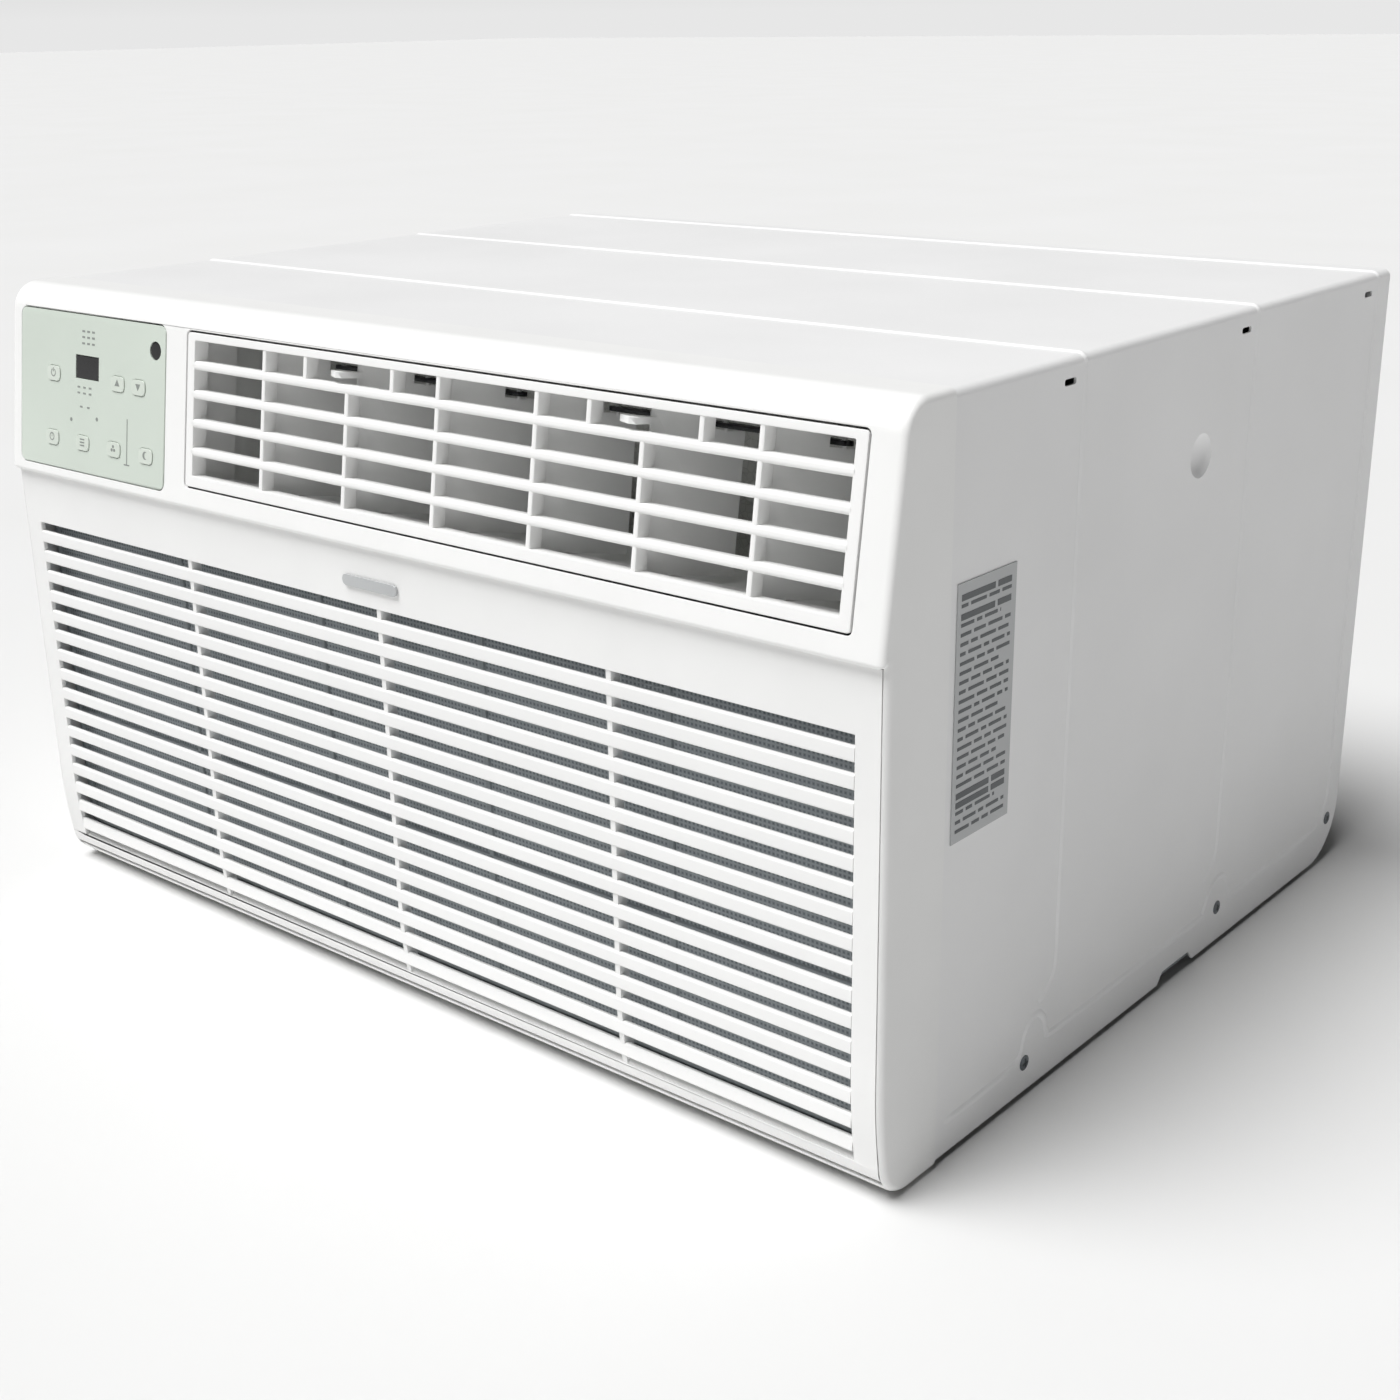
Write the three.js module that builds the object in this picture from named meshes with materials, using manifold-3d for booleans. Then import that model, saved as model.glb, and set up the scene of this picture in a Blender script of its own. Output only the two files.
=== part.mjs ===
// Through-the-wall room air conditioner, built as its separate pieces.
// Millimetres, +Z up, front towards -Y, origin under the middle of the overall box.
import * as THREE from 'three';
import { mergeVertices } from 'three/addons/utils/BufferGeometryUtils.js';
import Module from 'manifold-3d';

const wasm = await Module();
wasm.setup();

// ---------------------------------------------------------------- driving dimensions

// overall box
const overallWidth = 615;
const overallDepth = 506;
const overallHeight = 355;

// clearances
const restGap = 0.3; // between pieces that touch
const fitGap = 0.5; // round a piece that drops into an opening
const runGap = 0.4; // round a pin that turns in a hole
const past = 1; // how far a cutting tool or an embedded end runs past a surface
const sliver = 0.01; // keeps a cut clear of a tangent line

// front panel
const panelWall = 2.5;
const panelDepth = 44; // from the grille face to the panel's rear edge
const panelFloorGap = 1; // below the panel when the unit stands
const upperHeight = 105; // louvre and control section
const upperTilt = THREE.MathUtils.degToRad(8.5); // the upper section leans back
const stepOut = 4; // the upper section's lower lip stands proud of the grille
const topRadius = 16;
const bottomRadius = 20;
const leanHeight = 40; // the face curves back over this height above the bottom radius
const leanBack = 3;
const shelfExtra = 3; // the step's shelf runs this far behind the grille's rim

// intake grille
const grilleWall = 3;
const grilleFlange = 12; // depth of the rim behind the face
const grilleRimWall = 2.5;
const grilleTopGap = 0.8; // below the upper section's lip
const hingeTurn = THREE.MathUtils.degToRad(20); // hinge axis this far round the bottom radius
const hingeBarrelRadius = 6;
const hingePinRadius = 2.2;
const hingePinLength = 1.8;
const slotCount = 17;
const slotHeight = 5;
const slotBandTop = 33.5; // plain band above the first slot's centre
const slotBandBottom = 21.3; // height of the last slot's centre
const slotEndMargin = 14; // plain strip at each end of the slots
const ribPitch = 153; // the three upright ribs between the slots
const ribShift = 3.5;
const ribWidth = 3;
const badgeWidth = 40;
const badgeHeight = 6;
const badgeDrop = 18.5; // badge centre below the lip
const badgeThickness = 1.2;
const badgeRadius = 2.5;

// control section
const controlMargin = 9.5; // from the panel's side to the control plate
const controlWidth = 137;
const controlBottom = 6; // above the lip, along the tilted face
const controlHeight = 88;
const controlThickness = 2;
const controlRadius = 5;
const controlSeat = 4; // rim of the panel behind the plate's edge
const displayWidth = 22;
const displayHeight = 13;
const displayFromLeft = 65; // display centre from the plate's left edge
const displayRise = 59; // display centre above the plate's lower edge
const eyeRadius = 5; // infrared receiver window
const eyeFromRight = 9.5;
const eyeRise = 74;
const buttonWidth = 13;
const buttonHeight = 9;
const buttonRadius = 3;
const buttonProud = 0.6;
const buttonDepth = 5;
const buttonTravel = 0.8;
const lowerButtonRise = 17;
const lowerButtonPitch = 29.5;
const lowerButtonFirst = 32; // first lower button from the plate's left edge
const upperButtonRise = 53;
const upperButtonFromLeft = [33, 94, 113];
const boardGap = 1; // behind a button pressed home
const boardMargin = 8;
const boardTopMargin = 10;

// louvre insert
const louvreFromControl = 17.5; // from the control plate to the louvre opening
const louvreMargin = 16.5; // from the louvre opening to the panel's side
const louvreBottom = 11; // above the lip, along the tilted face
const louvreHeight = 82.5;
const louvreGap = 1;
const louvreDepth = 30; // depth of the insert's rim
const louvreGridDepth = 9;
const louvreSideFrame = 6;
const louvreRimWall = 2.4;
const columnCount = 7;
const endColumnTrim = 12.25; // each end column is this much narrower
const dividerShift = 5; // the dividers stand this far right of the opening's middle
const rowCount = 5;
const rowHeight = 10.5;
const rowPitch = 15;
const rowShift = 1; // the rows stand this far above the insert's middle
const dividerWidth = 3;

// air vanes
const vaneThickness = 1.8;
const vaneLead = 13; // pivot to front edge
const vaneTrail = 31; // pivot to rear edge
const vanePivotDepth = 24;
const vaneRest = THREE.MathUtils.degToRad(-30); // vanes rest turned to one side
const vanePinRadius = 2;
const vanesPerGroup = 3;
const tieReach = 22; // pivot to tie-bar pin
const tieWidth = 8;
const tieThickness = 2;
const tiePinRadius = 1.3;
const tieDrop = 9; // tie bar below the vane's top edge
const tieGap = 1; // above and below the tie bar
const notchStart = 15;
const leverWidth = 16;
const leverThickness = 3;
const leverReach = 25; // pivot to lever tip
const leverNeck = 3;
const leverChamfer = 2;
const leverDrop = 1; // below the middle of the top row

// cabinet, base pan and rear guard
const cabinetInset = 1; // sheet sits this far inside the panel's outline
const cabinetSheet = 1.2;
const cabinetBottom = 3.5;
const cabinetCornerRadius = 4;
const rearCornerRadius = 35;
const rearGuardOut = 14; // guard stands out behind the cabinet
const beadHeight = 0.9;
const beadWidth = 6;
const beadPlaces = [148, 320, 472]; // behind the grille face
const beadFoot = 46;
const lanceLength = 10;
const lanceHeight = 3;
const lanceDrop = 10.5;
const lanceLead = 13; // slot ahead of its bead
const notchPlace = 279;
const notchLength = 42;
const notchDepth = 6;
const screwsFromFace = [122, 326]; // the first two screws on each side
const screwFromRear = 28; // the third, from the overall rear
const screwHeights = [19, 24, 28];
const screwHeadRadius = 4;
const screwHeadHeight = 0.6;
const screwShankRadius = 1.9;
const screwLength = 7;
const labelWidth = 46;
const labelHeight = 116;
const labelPlace = 50; // behind the grille face
const labelBottom = 157;
const labelThickness = 0.3;
const panSheet = 1.5;
const panFloor = 6; // underside of the pan's floor
const panFlange = 30;
const panCornerWidth = 8;
const runnerPlace = 215;
const runnerWidth = 36;
const runnerLead = 1; // runners start this far behind the front panel
const guardBar = 2.4;
const guardRim = 14;
const guardColumns = 5;
const guardRows = 3;
const guardDepth = 16;
const guardInset = 8; // from the cabinet's outline
const guardRadius = 10;

// air side, from front to rear
const filterPlace = 14; // behind the grille face
const filterDepth = 5;
const filterLift = 8; // the filter rises this far in its rails
const filterRib = 3;
const filterColumns = 5;
const filterRows = 3;
const filterNet = 0.8;
const filterSideGap = 4;
const filterFoot = 8; // filter's lower edge above the hinge axis
const filterTopGap = 3;
const evaporatorPlace = 26;
const evaporatorDepth = 44;
const evaporatorLeft = 16; // from the panel's inside to the coil's left plate
const evaporatorRight = 42; // room for return bends and pipes on the right
const coilTopGap = 6;
const trayHeight = 20;
const trayWall = 2;
const traySideGap = 2;
const coilPlate = 1.5;
const coilPlateRim = 3;
const bendRadius = 9;
const bendTube = 4;
const bendInset = 13; // bends and pipe ends from the coil's front or rear face
const bendCount = 4;
const housingLead = 5; // the blower housing starts this far behind the evaporator
const housingDepth = 78;
const housingWall = 2.5;
const housingTopGap = 6;
const bulkheadSheet = 1.6;
const ductWall = 2;
const ductFloorDrop = 4; // duct floor's inside above the step line
const shaftHoleGap = 4;

// fans and motor
const shaftX = -40;
const shaftRadius = 6;
const wheelRadius = 92;
const wheelInner = 74;
const wheelDepth = 58;
const wheelBlades = 26;
const wheelBladeThickness = 1.3;
const wheelBladeTurn = 0.12; // each blade's tip leads its root by this angle
const wheelBladeInset = 0.4;
const wheelPlate = 2;
const wheelRing = 2.5;
const wheelHubRadius = 15;
const wheelHubLength = 26;
const inletInset = 4; // the housing's inlet is this much smaller than the wheel's eye
const scrollStart = 12; // air space round the wheel where the scroll starts
const scrollEnd = 40; // and where it ends
const scrollFrom = 165; // degrees round the shaft
const scrollTurn = 195;
const scrollSteps = 14;
const wheelFrontGap = 6;
const motorRadius = 62;
const motorLength = 100;
const motorFront = 14; // behind the bulkhead
const motorNose = 12; // the end face round the shaft
const motorShoulder = 8;
const motorEnd = 6;
const motorCap = 14;
const bracketFootOut = 6;
const bracketFoot = 3;
const bracketInset = 14;
const bracketSheet = 4;
const uprightInset = 16;
const bracketTaper = 14;
const shaftInWheel = 8; // shaft's front end behind the wheel's front
const shaftPastFan = 6;
const fanFloorGap = 5.5; // shroud's ring above the pan floor
const fanHeadroom = 29.8; // shroud's ring below the cabinet's top
const fanDepth = 36;
const fanBlades = 5;
const fanHubRadius = 32;
const bladeRoot = 3; // blades run this far into the hub
const bladeTip = 2; // and into the slinger ring
const bladeHalf = 1; // half a blade's thickness
const bladeSpread = 0.5; // half a blade's angle at the root
const bladeNarrowing = 0.12;
const bladePitch = 0.44; // half a blade's depth at the root, as a share of the fan's
const bladeTwist = 0.08;
const slingerWidth = 6;
const slingerDepth = 14;
const shroudClearance = 7;
const shroudSheet = 2;
const shroudDepth = 66;
const shroudLip = 12; // the round mouth stands forward of the shroud
const shroudGap = 2; // at its sides and top
const fanLead = 14; // the fan starts this far ahead of the shroud
const condenserDepth = 44;
const condenserGap = 4;
const condenserEnd = 26; // room for return bends at each end

// refrigeration
const compressorFromSide = 43.7; // compressor's wall from the pan's side
const compressorFromShroud = 18.7; // compressor's rear foot ahead of the shroud
const compressorRadius = 56;
const compressorHeight = 205;
const canBaseIn = 14; // flat base inside the can's wall
const canBaseRise = 12;
const canShoulder = 20;
const canDomeIn = 10;
const canDomeDrop = 7;
const canCrownRadius = 22;
const grommetHeight = 12;
const grommetRadius = 11;
const compressorFootOut = 26; // foot holes outside the can
const footHoleRadius = 4;
const footPastHole = 11;
const footWidth = 28;
const footSheet = 3;
const terminalWidth = 48;
const terminalDepth = 36;
const terminalHeight = 26;
const terminalRadius = 6;
const accumulatorRadius = 25;
const accumulatorHeight = 135;
const accumulatorTurn = THREE.MathUtils.degToRad(200);
const accumulatorGap = 6;
const accumulatorFoot = 62;
const accumulatorNeck = 10;
const accumulatorCone = 12;
const elbowDrop = 20; // elbow's level below the accumulator
const elbowRadius = 8;
const pipeRadius = 4.8;
const dischargeRadius = 4;
const capillaryRadius = 1.6;
const pipeFromSide = 22; // pipes through the bulkhead, from the pan's side
const pipeDrop = 62; // and below the upper section
const suctionHoleRadius = 13;
const wireHoleRadius = 8;
const pipeHoleRadius = 9; // pipe holes in the shroud
const shroudPipeFromSide = 18;
const dischargeHeight = 200;
const liquidHeight = 60;
const drierLength = 54;
const drierRadius = 9;
const drierNeckLength = 5;
const drierNeckRadius = 5;
const drierFromShroud = 24;

// control box
const boxWall = 2;
const boxDepth = 92;
const boxPlace = 25; // behind the overall front
const boxSideGap = 3;
const boxFromLouvre = 8;
const boxFloorGap = 8; // above the step line
const boxTopGap = 10;
const cableHoleInset = 20;
const cableHoleRadius = 7;
const boardThickness = 1.6;
const capacitorRadius = 18;
const capacitorHeight = 62;
const capacitorFromSide = 36;
const capacitorFromRear = 28;

// ---------------------------------------------------------------- derived places

const halfWidth = overallWidth / 2;
const frontY = -overallDepth / 2;
const rearY = overallDepth / 2;
const faceY = frontY + stepOut;
const stepZ = overallHeight - upperHeight;
const panelRearY = faceY + panelDepth;
const panelInside = halfWidth - panelWall;
const cabinetHalf = halfWidth - cabinetInset;
const cabinetTop = overallHeight - cabinetInset;
const cabinetFrontY = panelRearY + restGap;
const cabinetRearY = rearY - rearGuardOut;
const insideTop = cabinetTop - cabinetSheet;
const panHalf = panelInside - restGap;
const panTop = panFloor + panSheet;
const leanTop = panelFloorGap + bottomRadius + leanHeight;
const bottomCentre = [faceY + leanBack + bottomRadius, panelFloorGap + bottomRadius];
const hingeReach = bottomRadius - hingeBarrelRadius;
const hingeY = bottomCentre[0] - hingeReach * Math.cos(hingeTurn);
const hingeZ = bottomCentre[1] - hingeReach * Math.sin(hingeTurn);
const grilleSill = hingeZ - hingeBarrelRadius - fitGap;
const panFrontY = faceY + bottomRadius + restGap;

// frame of the tilted upper section: x across, y into the unit, z up along the face
const upperFrame = new THREE.Matrix4()
  .makeRotationX(-upperTilt)
  .setPosition(0, frontY, stepZ);

const controlLeft = -halfWidth + controlMargin;
const controlRight = controlLeft + controlWidth;
const louvreLeft = controlRight + louvreFromControl;
const louvreRight = halfWidth - louvreMargin;
const louvreTop = louvreBottom + louvreHeight;
const insertLeft = louvreLeft + louvreGap;
const insertRight = louvreRight - louvreGap;
const insertBottom = louvreBottom + louvreGap;
const insertTop = louvreTop - louvreGap;
const gridLeft = insertLeft + louvreSideFrame;
const gridRight = insertRight - louvreSideFrame;
const columnPitch = (gridRight - gridLeft + 2 * endColumnTrim) / columnCount;
const rowMiddle = (insertBottom + insertTop) / 2 + rowShift;
const vaneBottom = insertBottom + louvreRimWall + runGap;
const vaneTop = insertTop - louvreRimWall - runGap;
const tieZ = vaneTop - tieDrop;

const evaporatorY = [faceY + evaporatorPlace, faceY + evaporatorPlace + evaporatorDepth];
const housingY = [evaporatorY[1] + housingLead, evaporatorY[1] + housingLead + housingDepth];
const bulkheadY = housingY[1] + restGap;
const motorY = bulkheadY + bulkheadSheet + motorFront;
const guardY = rearY - guardDepth;
const condenserY = guardY - condenserGap - condenserDepth;
const shroudY = condenserY - shroudDepth - restGap;

// the shroud's round mouth fills the height between the pan and the top, and the fan fills the mouth
const mouthOuterRadius = (insideTop - panTop - fanFloorGap - fanHeadroom) / 2;
const mouthRadius = mouthOuterRadius - shroudSheet;
const fanRadius = mouthRadius - shroudClearance - slingerWidth;
const shaft = new THREE.Vector2(shaftX, panTop + fanFloorGap + mouthOuterRadius);

const compressorFootReach = compressorRadius + compressorFootOut;
const compressorX = panHalf - compressorFromSide - compressorRadius;
const compressorY = shroudY - compressorFromShroud - compressorFootReach;

// ---------------------------------------------------------------- solid helpers

function solid(geometry) {
  const bare = geometry.clone();
  bare.deleteAttribute('normal');
  bare.deleteAttribute('uv');
  const merged = mergeVertices(bare, 1e-4);
  return new wasm.Manifold(new wasm.Mesh({
    numProp: 3,
    vertProperties: new Float32Array(merged.attributes.position.array),
    triVerts: new Uint32Array(merged.index.array),
  }));
}

function geometryOf(piece) {
  const mesh = piece.getMesh();
  const geometry = new THREE.BufferGeometry();
  geometry.setAttribute('position', new THREE.BufferAttribute(mesh.vertProperties, 3));
  geometry.setIndex(new THREE.BufferAttribute(mesh.triVerts, 1));
  geometry.computeVertexNormals();
  return geometry;
}

function join(first, ...others) {
  return others.reduce((sum, piece) => sum.add(piece), first);
}

function cut(first, ...others) {
  return others.reduce((rest, piece) => rest.subtract(piece), first);
}

function boxGeometry(x, y, z) {
  const geometry = new THREE.BoxGeometry(x[1] - x[0], y[1] - y[0], z[1] - z[0]);
  return geometry.translate((x[0] + x[1]) / 2, (y[0] + y[1]) / 2, (z[0] + z[1]) / 2);
}

function block(x, y, z) {
  return solid(boxGeometry(x, y, z));
}

function tiltedBlock(x, y, z) {
  return solid(boxGeometry(x, y, z).applyMatrix4(upperFrame));
}

function asShape(outline) {
  if (outline instanceof THREE.Shape) return outline;
  return new THREE.Shape(outline.map(([u, v]) => new THREE.Vector2(u, v)));
}

function extrusion(outline, depth, curveSegments = 6) {
  return new THREE.ExtrudeGeometry(asShape(outline), { depth, bevelEnabled: false, curveSegments });
}

// outline given as (y, z), swept from x[0] to x[1]
function sweepX(outline, x, curveSegments) {
  const turn = new THREE.Matrix4().makeBasis(
    new THREE.Vector3(0, 1, 0), new THREE.Vector3(0, 0, 1), new THREE.Vector3(1, 0, 0));
  return solid(extrusion(outline, x[1] - x[0], curveSegments).applyMatrix4(turn).translate(x[0], 0, 0));
}

// outline given as (x, z), swept from y[0] to y[1]
function sweepY(outline, y, curveSegments) {
  const turn = new THREE.Matrix4().makeBasis(
    new THREE.Vector3(1, 0, 0), new THREE.Vector3(0, 0, 1), new THREE.Vector3(0, -1, 0));
  return solid(extrusion(outline, y[1] - y[0], curveSegments).applyMatrix4(turn).translate(0, y[1], 0));
}

// outline given as (x, y), swept from z[0] to z[1]
function sweepZ(outline, z, curveSegments) {
  return solid(extrusion(outline, z[1] - z[0], curveSegments).translate(0, 0, z[0]));
}

function roundedRect(left, right, bottom, top, radius) {
  const shape = new THREE.Shape();
  shape.absarc(right - radius, bottom + radius, radius, -Math.PI / 2, 0, false);
  shape.absarc(right - radius, top - radius, radius, 0, Math.PI / 2, false);
  shape.absarc(left + radius, top - radius, radius, Math.PI / 2, Math.PI, false);
  shape.absarc(left + radius, bottom + radius, radius, Math.PI, 1.5 * Math.PI, false);
  shape.closePath();
  return shape;
}

function circlePoints(centre, radius, count, from = 0, to = 2 * Math.PI, closed = true) {
  const points = [];
  const steps = closed ? count : count - 1;
  for (let i = 0; i < count; i++) {
    const turn = from + ((to - from) * i) / steps;
    points.push([centre[0] + radius * Math.cos(turn), centre[1] + radius * Math.sin(turn)]);
  }
  return points;
}

// round bar along Y
function barY(x, z, radius, y, sides = 24) {
  return sweepY(circlePoints([x, z], radius, sides), y);
}

// round bar along X
function barX(y, z, radius, x, sides = 16) {
  return sweepX(circlePoints([y, z], radius, sides), x);
}

// round bar along Z
function barZ(x, y, radius, z, sides = 16) {
  return sweepZ(circlePoints([x, y], radius, sides), z);
}

// solid of revolution about a vertical line; profile as (radius, z) from axis to axis
function turned(profile, x, y, sides = 24) {
  const points = profile.map(([r, z]) => new THREE.Vector2(r, z));
  const lathe = new THREE.LatheGeometry(points, sides).rotateX(Math.PI / 2);
  return solid(lathe.translate(x, y, 0));
}

// closed outline of a bent sheet: the line given, and the same line moved inwards
function sheetOutline(line, thickness) {
  const inner = line.map((point, i) => {
    const before = line[Math.max(i - 1, 0)];
    const after = line[Math.min(i + 1, line.length - 1)];
    const a = edgeNormal(i === 0 ? point : before, i === 0 ? after : point);
    const b = edgeNormal(i === line.length - 1 ? before : point, i === line.length - 1 ? point : after);
    const scale = thickness / (1 + a[0] * b[0] + a[1] * b[1]);
    return [point[0] + (a[0] + b[0]) * scale, point[1] + (a[1] + b[1]) * scale];
  });
  return line.concat(inner.reverse());
}

function edgeNormal(from, to) {
  const length = Math.hypot(to[0] - from[0], to[1] - from[1]);
  return [-(to[1] - from[1]) / length, (to[0] - from[0]) / length];
}

function tube(points, radius, steps, sides = 7) {
  const path = new THREE.CatmullRomCurve3(points.map((p) => new THREE.Vector3(...p)), false, 'centripetal');
  const section = new THREE.Shape(
    circlePoints([0, 0], radius, sides).map(([u, v]) => new THREE.Vector2(u, v)));
  return solid(new THREE.ExtrudeGeometry(section, { steps, bevelEnabled: false, extrudePath: path }));
}

// ---------------------------------------------------------------- materials

function finish(colour, roughness, metalness = 0) {
  return new THREE.MeshStandardMaterial({ color: colour, roughness, metalness });
}

const materials = {
  casing: finish('#f4f4f2', 0.45),
  steelPaint: finish('#e9eaea', 0.42, 0.1),
  innerPlastic: finish('#d9dad8', 0.6),
  blackPlastic: finish('#1d1e1f', 0.5),
  controlFilm: finish('#e6ece4', 0.35),
  window: finish('#0b0c0d', 0.15),
  button: finish('#dfe4de', 0.4),
  badge: finish('#b9bbbb', 0.4, 0.3),
  galvanised: finish('#a9adb0', 0.45, 0.8),
  aluminium: finish('#c3c6c8', 0.4, 0.9),
  copper: finish('#b8714a', 0.35, 1),
  compressorPaint: finish('#17181a', 0.4, 0.1),
  rubber: finish('#222222', 0.9),
  steel: finish('#8f9396', 0.35, 1),
  board: finish('#2f6b3c', 0.6),
  net: finish('#9fb4c4', 0.8),
  foam: finish('#f3f4f1', 0.9),
  label: finish('#cfd1d0', 0.6),
};

const unit = new THREE.Group();
const upperFace = new THREE.Group();
upperFace.position.set(0, frontY, stepZ);
upperFace.rotation.x = -upperTilt;
unit.add(upperFace);

function place(name, piece, material, parent = unit) {
  const mesh = new THREE.Mesh(geometryOf(piece), material);
  mesh.name = name;
  parent.add(mesh);
  return mesh;
}

// ---------------------------------------------------------------- front panel

// how far the face has curved back at a height
function faceLean(z) {
  const radius = (leanHeight ** 2 + leanBack ** 2) / (2 * leanBack);
  const drop = Math.max(leanTop - z, 0);
  return radius - Math.sqrt(radius ** 2 - drop ** 2);
}

// side profile of the front, moved inwards by inset
function frontProfile(inset) {
  const bottom = panelFloorGap + inset;
  const top = overallHeight - inset;
  const profile = [[panelRearY, bottom]];
  const quarter = circlePoints(bottomCentre, bottomRadius - inset, 7, -Math.PI / 2, -Math.PI, false);
  profile.push(...quarter);
  for (let i = 1; i <= 3; i++) {
    const z = bottomCentre[1] + (leanHeight * i) / 3;
    profile.push([faceY + inset + faceLean(z), z]);
  }
  profile.push([faceY + inset, stepZ + inset]);
  const lip = frontY + inset / Math.cos(upperTilt) - inset * Math.tan(upperTilt);
  profile.push([lip, stepZ + inset]);
  const corner = lip + (top - stepZ - inset) * Math.tan(upperTilt);
  const bend = Math.PI / 2 - upperTilt;
  const round = topRadius - inset;
  const roundY = corner + round * Math.tan(bend / 2);
  profile.push(...circlePoints([roundY, top - round], round, 6, Math.PI - upperTilt, Math.PI / 2, false));
  profile.push([panelRearY, top]);
  return profile;
}

function innerFrontProfile() {
  const profile = frontProfile(panelWall);
  profile[0][0] += panelWall;
  profile[profile.length - 1][0] += panelWall;
  return profile;
}

function frontPanel() {
  const shell = cut(
    sweepX(frontProfile(0), [-halfWidth, halfWidth]),
    sweepX(innerFrontProfile(), [-panelInside, panelInside]));
  const behind = panelDepth + stepOut;
  const grilleOpening = block(
    [-panelInside, panelInside], [frontY - past, faceY + bottomRadius], [grilleSill, stepZ]);
  const lip = block(
    [-panelInside, panelInside],
    [frontY + panelWall, faceY + grilleFlange + shelfExtra], [stepZ, stepZ + panelWall]);
  const louvreOpening = tiltedBlock(
    [louvreLeft, louvreRight], [-past, behind], [louvreBottom, louvreTop]);
  const controlOpening = tiltedBlock(
    [controlLeft, controlRight], [-past, controlThickness], [controlBottom, controlBottom + controlHeight]);
  const controlWindow = tiltedBlock(
    [controlLeft + controlSeat, controlRight - controlSeat], [-past, behind],
    [controlBottom + controlSeat, controlBottom + controlHeight - controlSeat]);
  const hinges = [-1, 1].map((side) => {
    const reach = [panelInside - past, panelInside + hingePinLength + runGap];
    const x = side > 0 ? reach : [-reach[1], -reach[0]];
    return barX(hingeY, hingeZ, hingePinRadius + runGap, x);
  });
  return cut(join(shell, lip), grilleOpening, louvreOpening, controlOpening, controlWindow, ...hinges);
}

place('front_panel', frontPanel(), materials.casing);

// ---------------------------------------------------------------- intake grille

const grilleHalf = panelInside - fitGap;
const grilleTop = stepZ - grilleTopGap;
const slotTop = stepZ - slotBandTop;
const slotPitch = (slotTop - slotBandBottom) / (slotCount - 1);

// face line of the grille from its hinge barrel to its top edge, moved inwards
function grilleFaceLine(inset) {
  const points = circlePoints(bottomCentre, bottomRadius - inset, 3, Math.PI + hingeTurn, Math.PI, false);
  for (let i = 1; i <= 3; i++) {
    const z = bottomCentre[1] + (leanHeight * i) / 3;
    points.push([faceY + inset + faceLean(z), z]);
  }
  points.push([faceY + inset, grilleTop]);
  return points;
}

function grillePlate() {
  const front = grilleFaceLine(0);
  const back = grilleFaceLine(grilleWall).reverse();
  const plate = sweepX(front.concat(back), [-grilleHalf, grilleHalf]);
  const barrel = barX(hingeY, hingeZ, hingeBarrelRadius, [-grilleHalf, grilleHalf], 20);
  const rim = [faceY + grilleWall / 2, faceY + grilleFlange];
  const topFlange = block([-grilleHalf, grilleHalf], rim, [grilleTop - grilleRimWall, grilleTop]);
  const sides = [-1, 1].map((side) => {
    const edge = side * grilleHalf;
    const x = side > 0 ? [edge - grilleRimWall, edge] : [edge, edge + grilleRimWall];
    return block(x, [faceY + leanBack, faceY + grilleFlange], [bottomCentre[1], grilleTop]);
  });
  return join(plate, barrel, topFlange, ...sides);
}

function intakeGrille() {
  const ribs = [-ribPitch, 0, ribPitch].map((x) => x + ribShift);
  const end = grilleHalf - slotEndMargin + grilleRimWall;
  const ends = [-end, ...ribs, end];
  const slots = [];
  for (let row = 0; row < slotCount; row++) {
    const z = slotTop - row * slotPitch;
    for (let column = 0; column < ribs.length + 1; column++) {
      const x = [ends[column] + ribWidth / 2, ends[column + 1] - ribWidth / 2];
      slots.push(block(x, [faceY - past, faceY + grilleFlange + past],
        [z - slotHeight / 2, z + slotHeight / 2]));
    }
  }
  const pins = [-1, 1].map((side) => {
    const x = side > 0 ? [grilleHalf - past, grilleHalf + hingePinLength]
      : [-grilleHalf - hingePinLength, -grilleHalf + past];
    return barX(hingeY, hingeZ, hingePinRadius, x);
  });
  return join(cut(grillePlate(), ...slots), ...pins);
}

place('intake_grille', intakeGrille(), materials.casing);

const badgeZ = stepZ - badgeDrop;
place('badge', sweepY(
  roundedRect(-badgeWidth / 2, badgeWidth / 2,
    badgeZ - badgeHeight / 2, badgeZ + badgeHeight / 2, badgeRadius),
  [faceY - restGap - badgeThickness, faceY - restGap], 1), materials.badge);

function airFilter() {
  const half = grilleHalf - filterSideGap;
  const y = [faceY + filterPlace, faceY + filterPlace + filterDepth];
  const z = [hingeZ + filterFoot, grilleTop - filterLift - filterTopGap];
  const middle = (y[0] + y[1]) / 2;
  const net = block([-half, half], [middle - filterNet / 2, middle + filterNet / 2], z);
  const windows = [];
  const cellWidth = (2 * half - filterRib) / filterColumns;
  const cellHeight = (z[1] - z[0] - filterRib) / filterRows;
  for (let column = 0; column < filterColumns; column++) {
    for (let row = 0; row < filterRows; row++) {
      const x0 = -half + filterRib + column * cellWidth;
      const z0 = z[0] + filterRib + row * cellHeight;
      windows.push(block([x0, x0 + cellWidth - filterRib], [y[0] - past, y[1] + past],
        [z0, z0 + cellHeight - filterRib]));
    }
  }
  return join(cut(block([-half, half], y, z), ...windows), net);
}

place('air_filter', airFilter(), materials.net);

// ---------------------------------------------------------------- control section

function controlOutline(inset) {
  return roundedRect(controlLeft + inset, controlRight - inset,
    controlBottom + inset, controlBottom + controlHeight - inset, controlRadius - inset);
}

const displayX = controlLeft + displayFromLeft;
const displayZ = controlBottom + displayRise;
const eyeX = controlRight - eyeFromRight;
const eyeZ = controlBottom + eyeRise;

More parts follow.
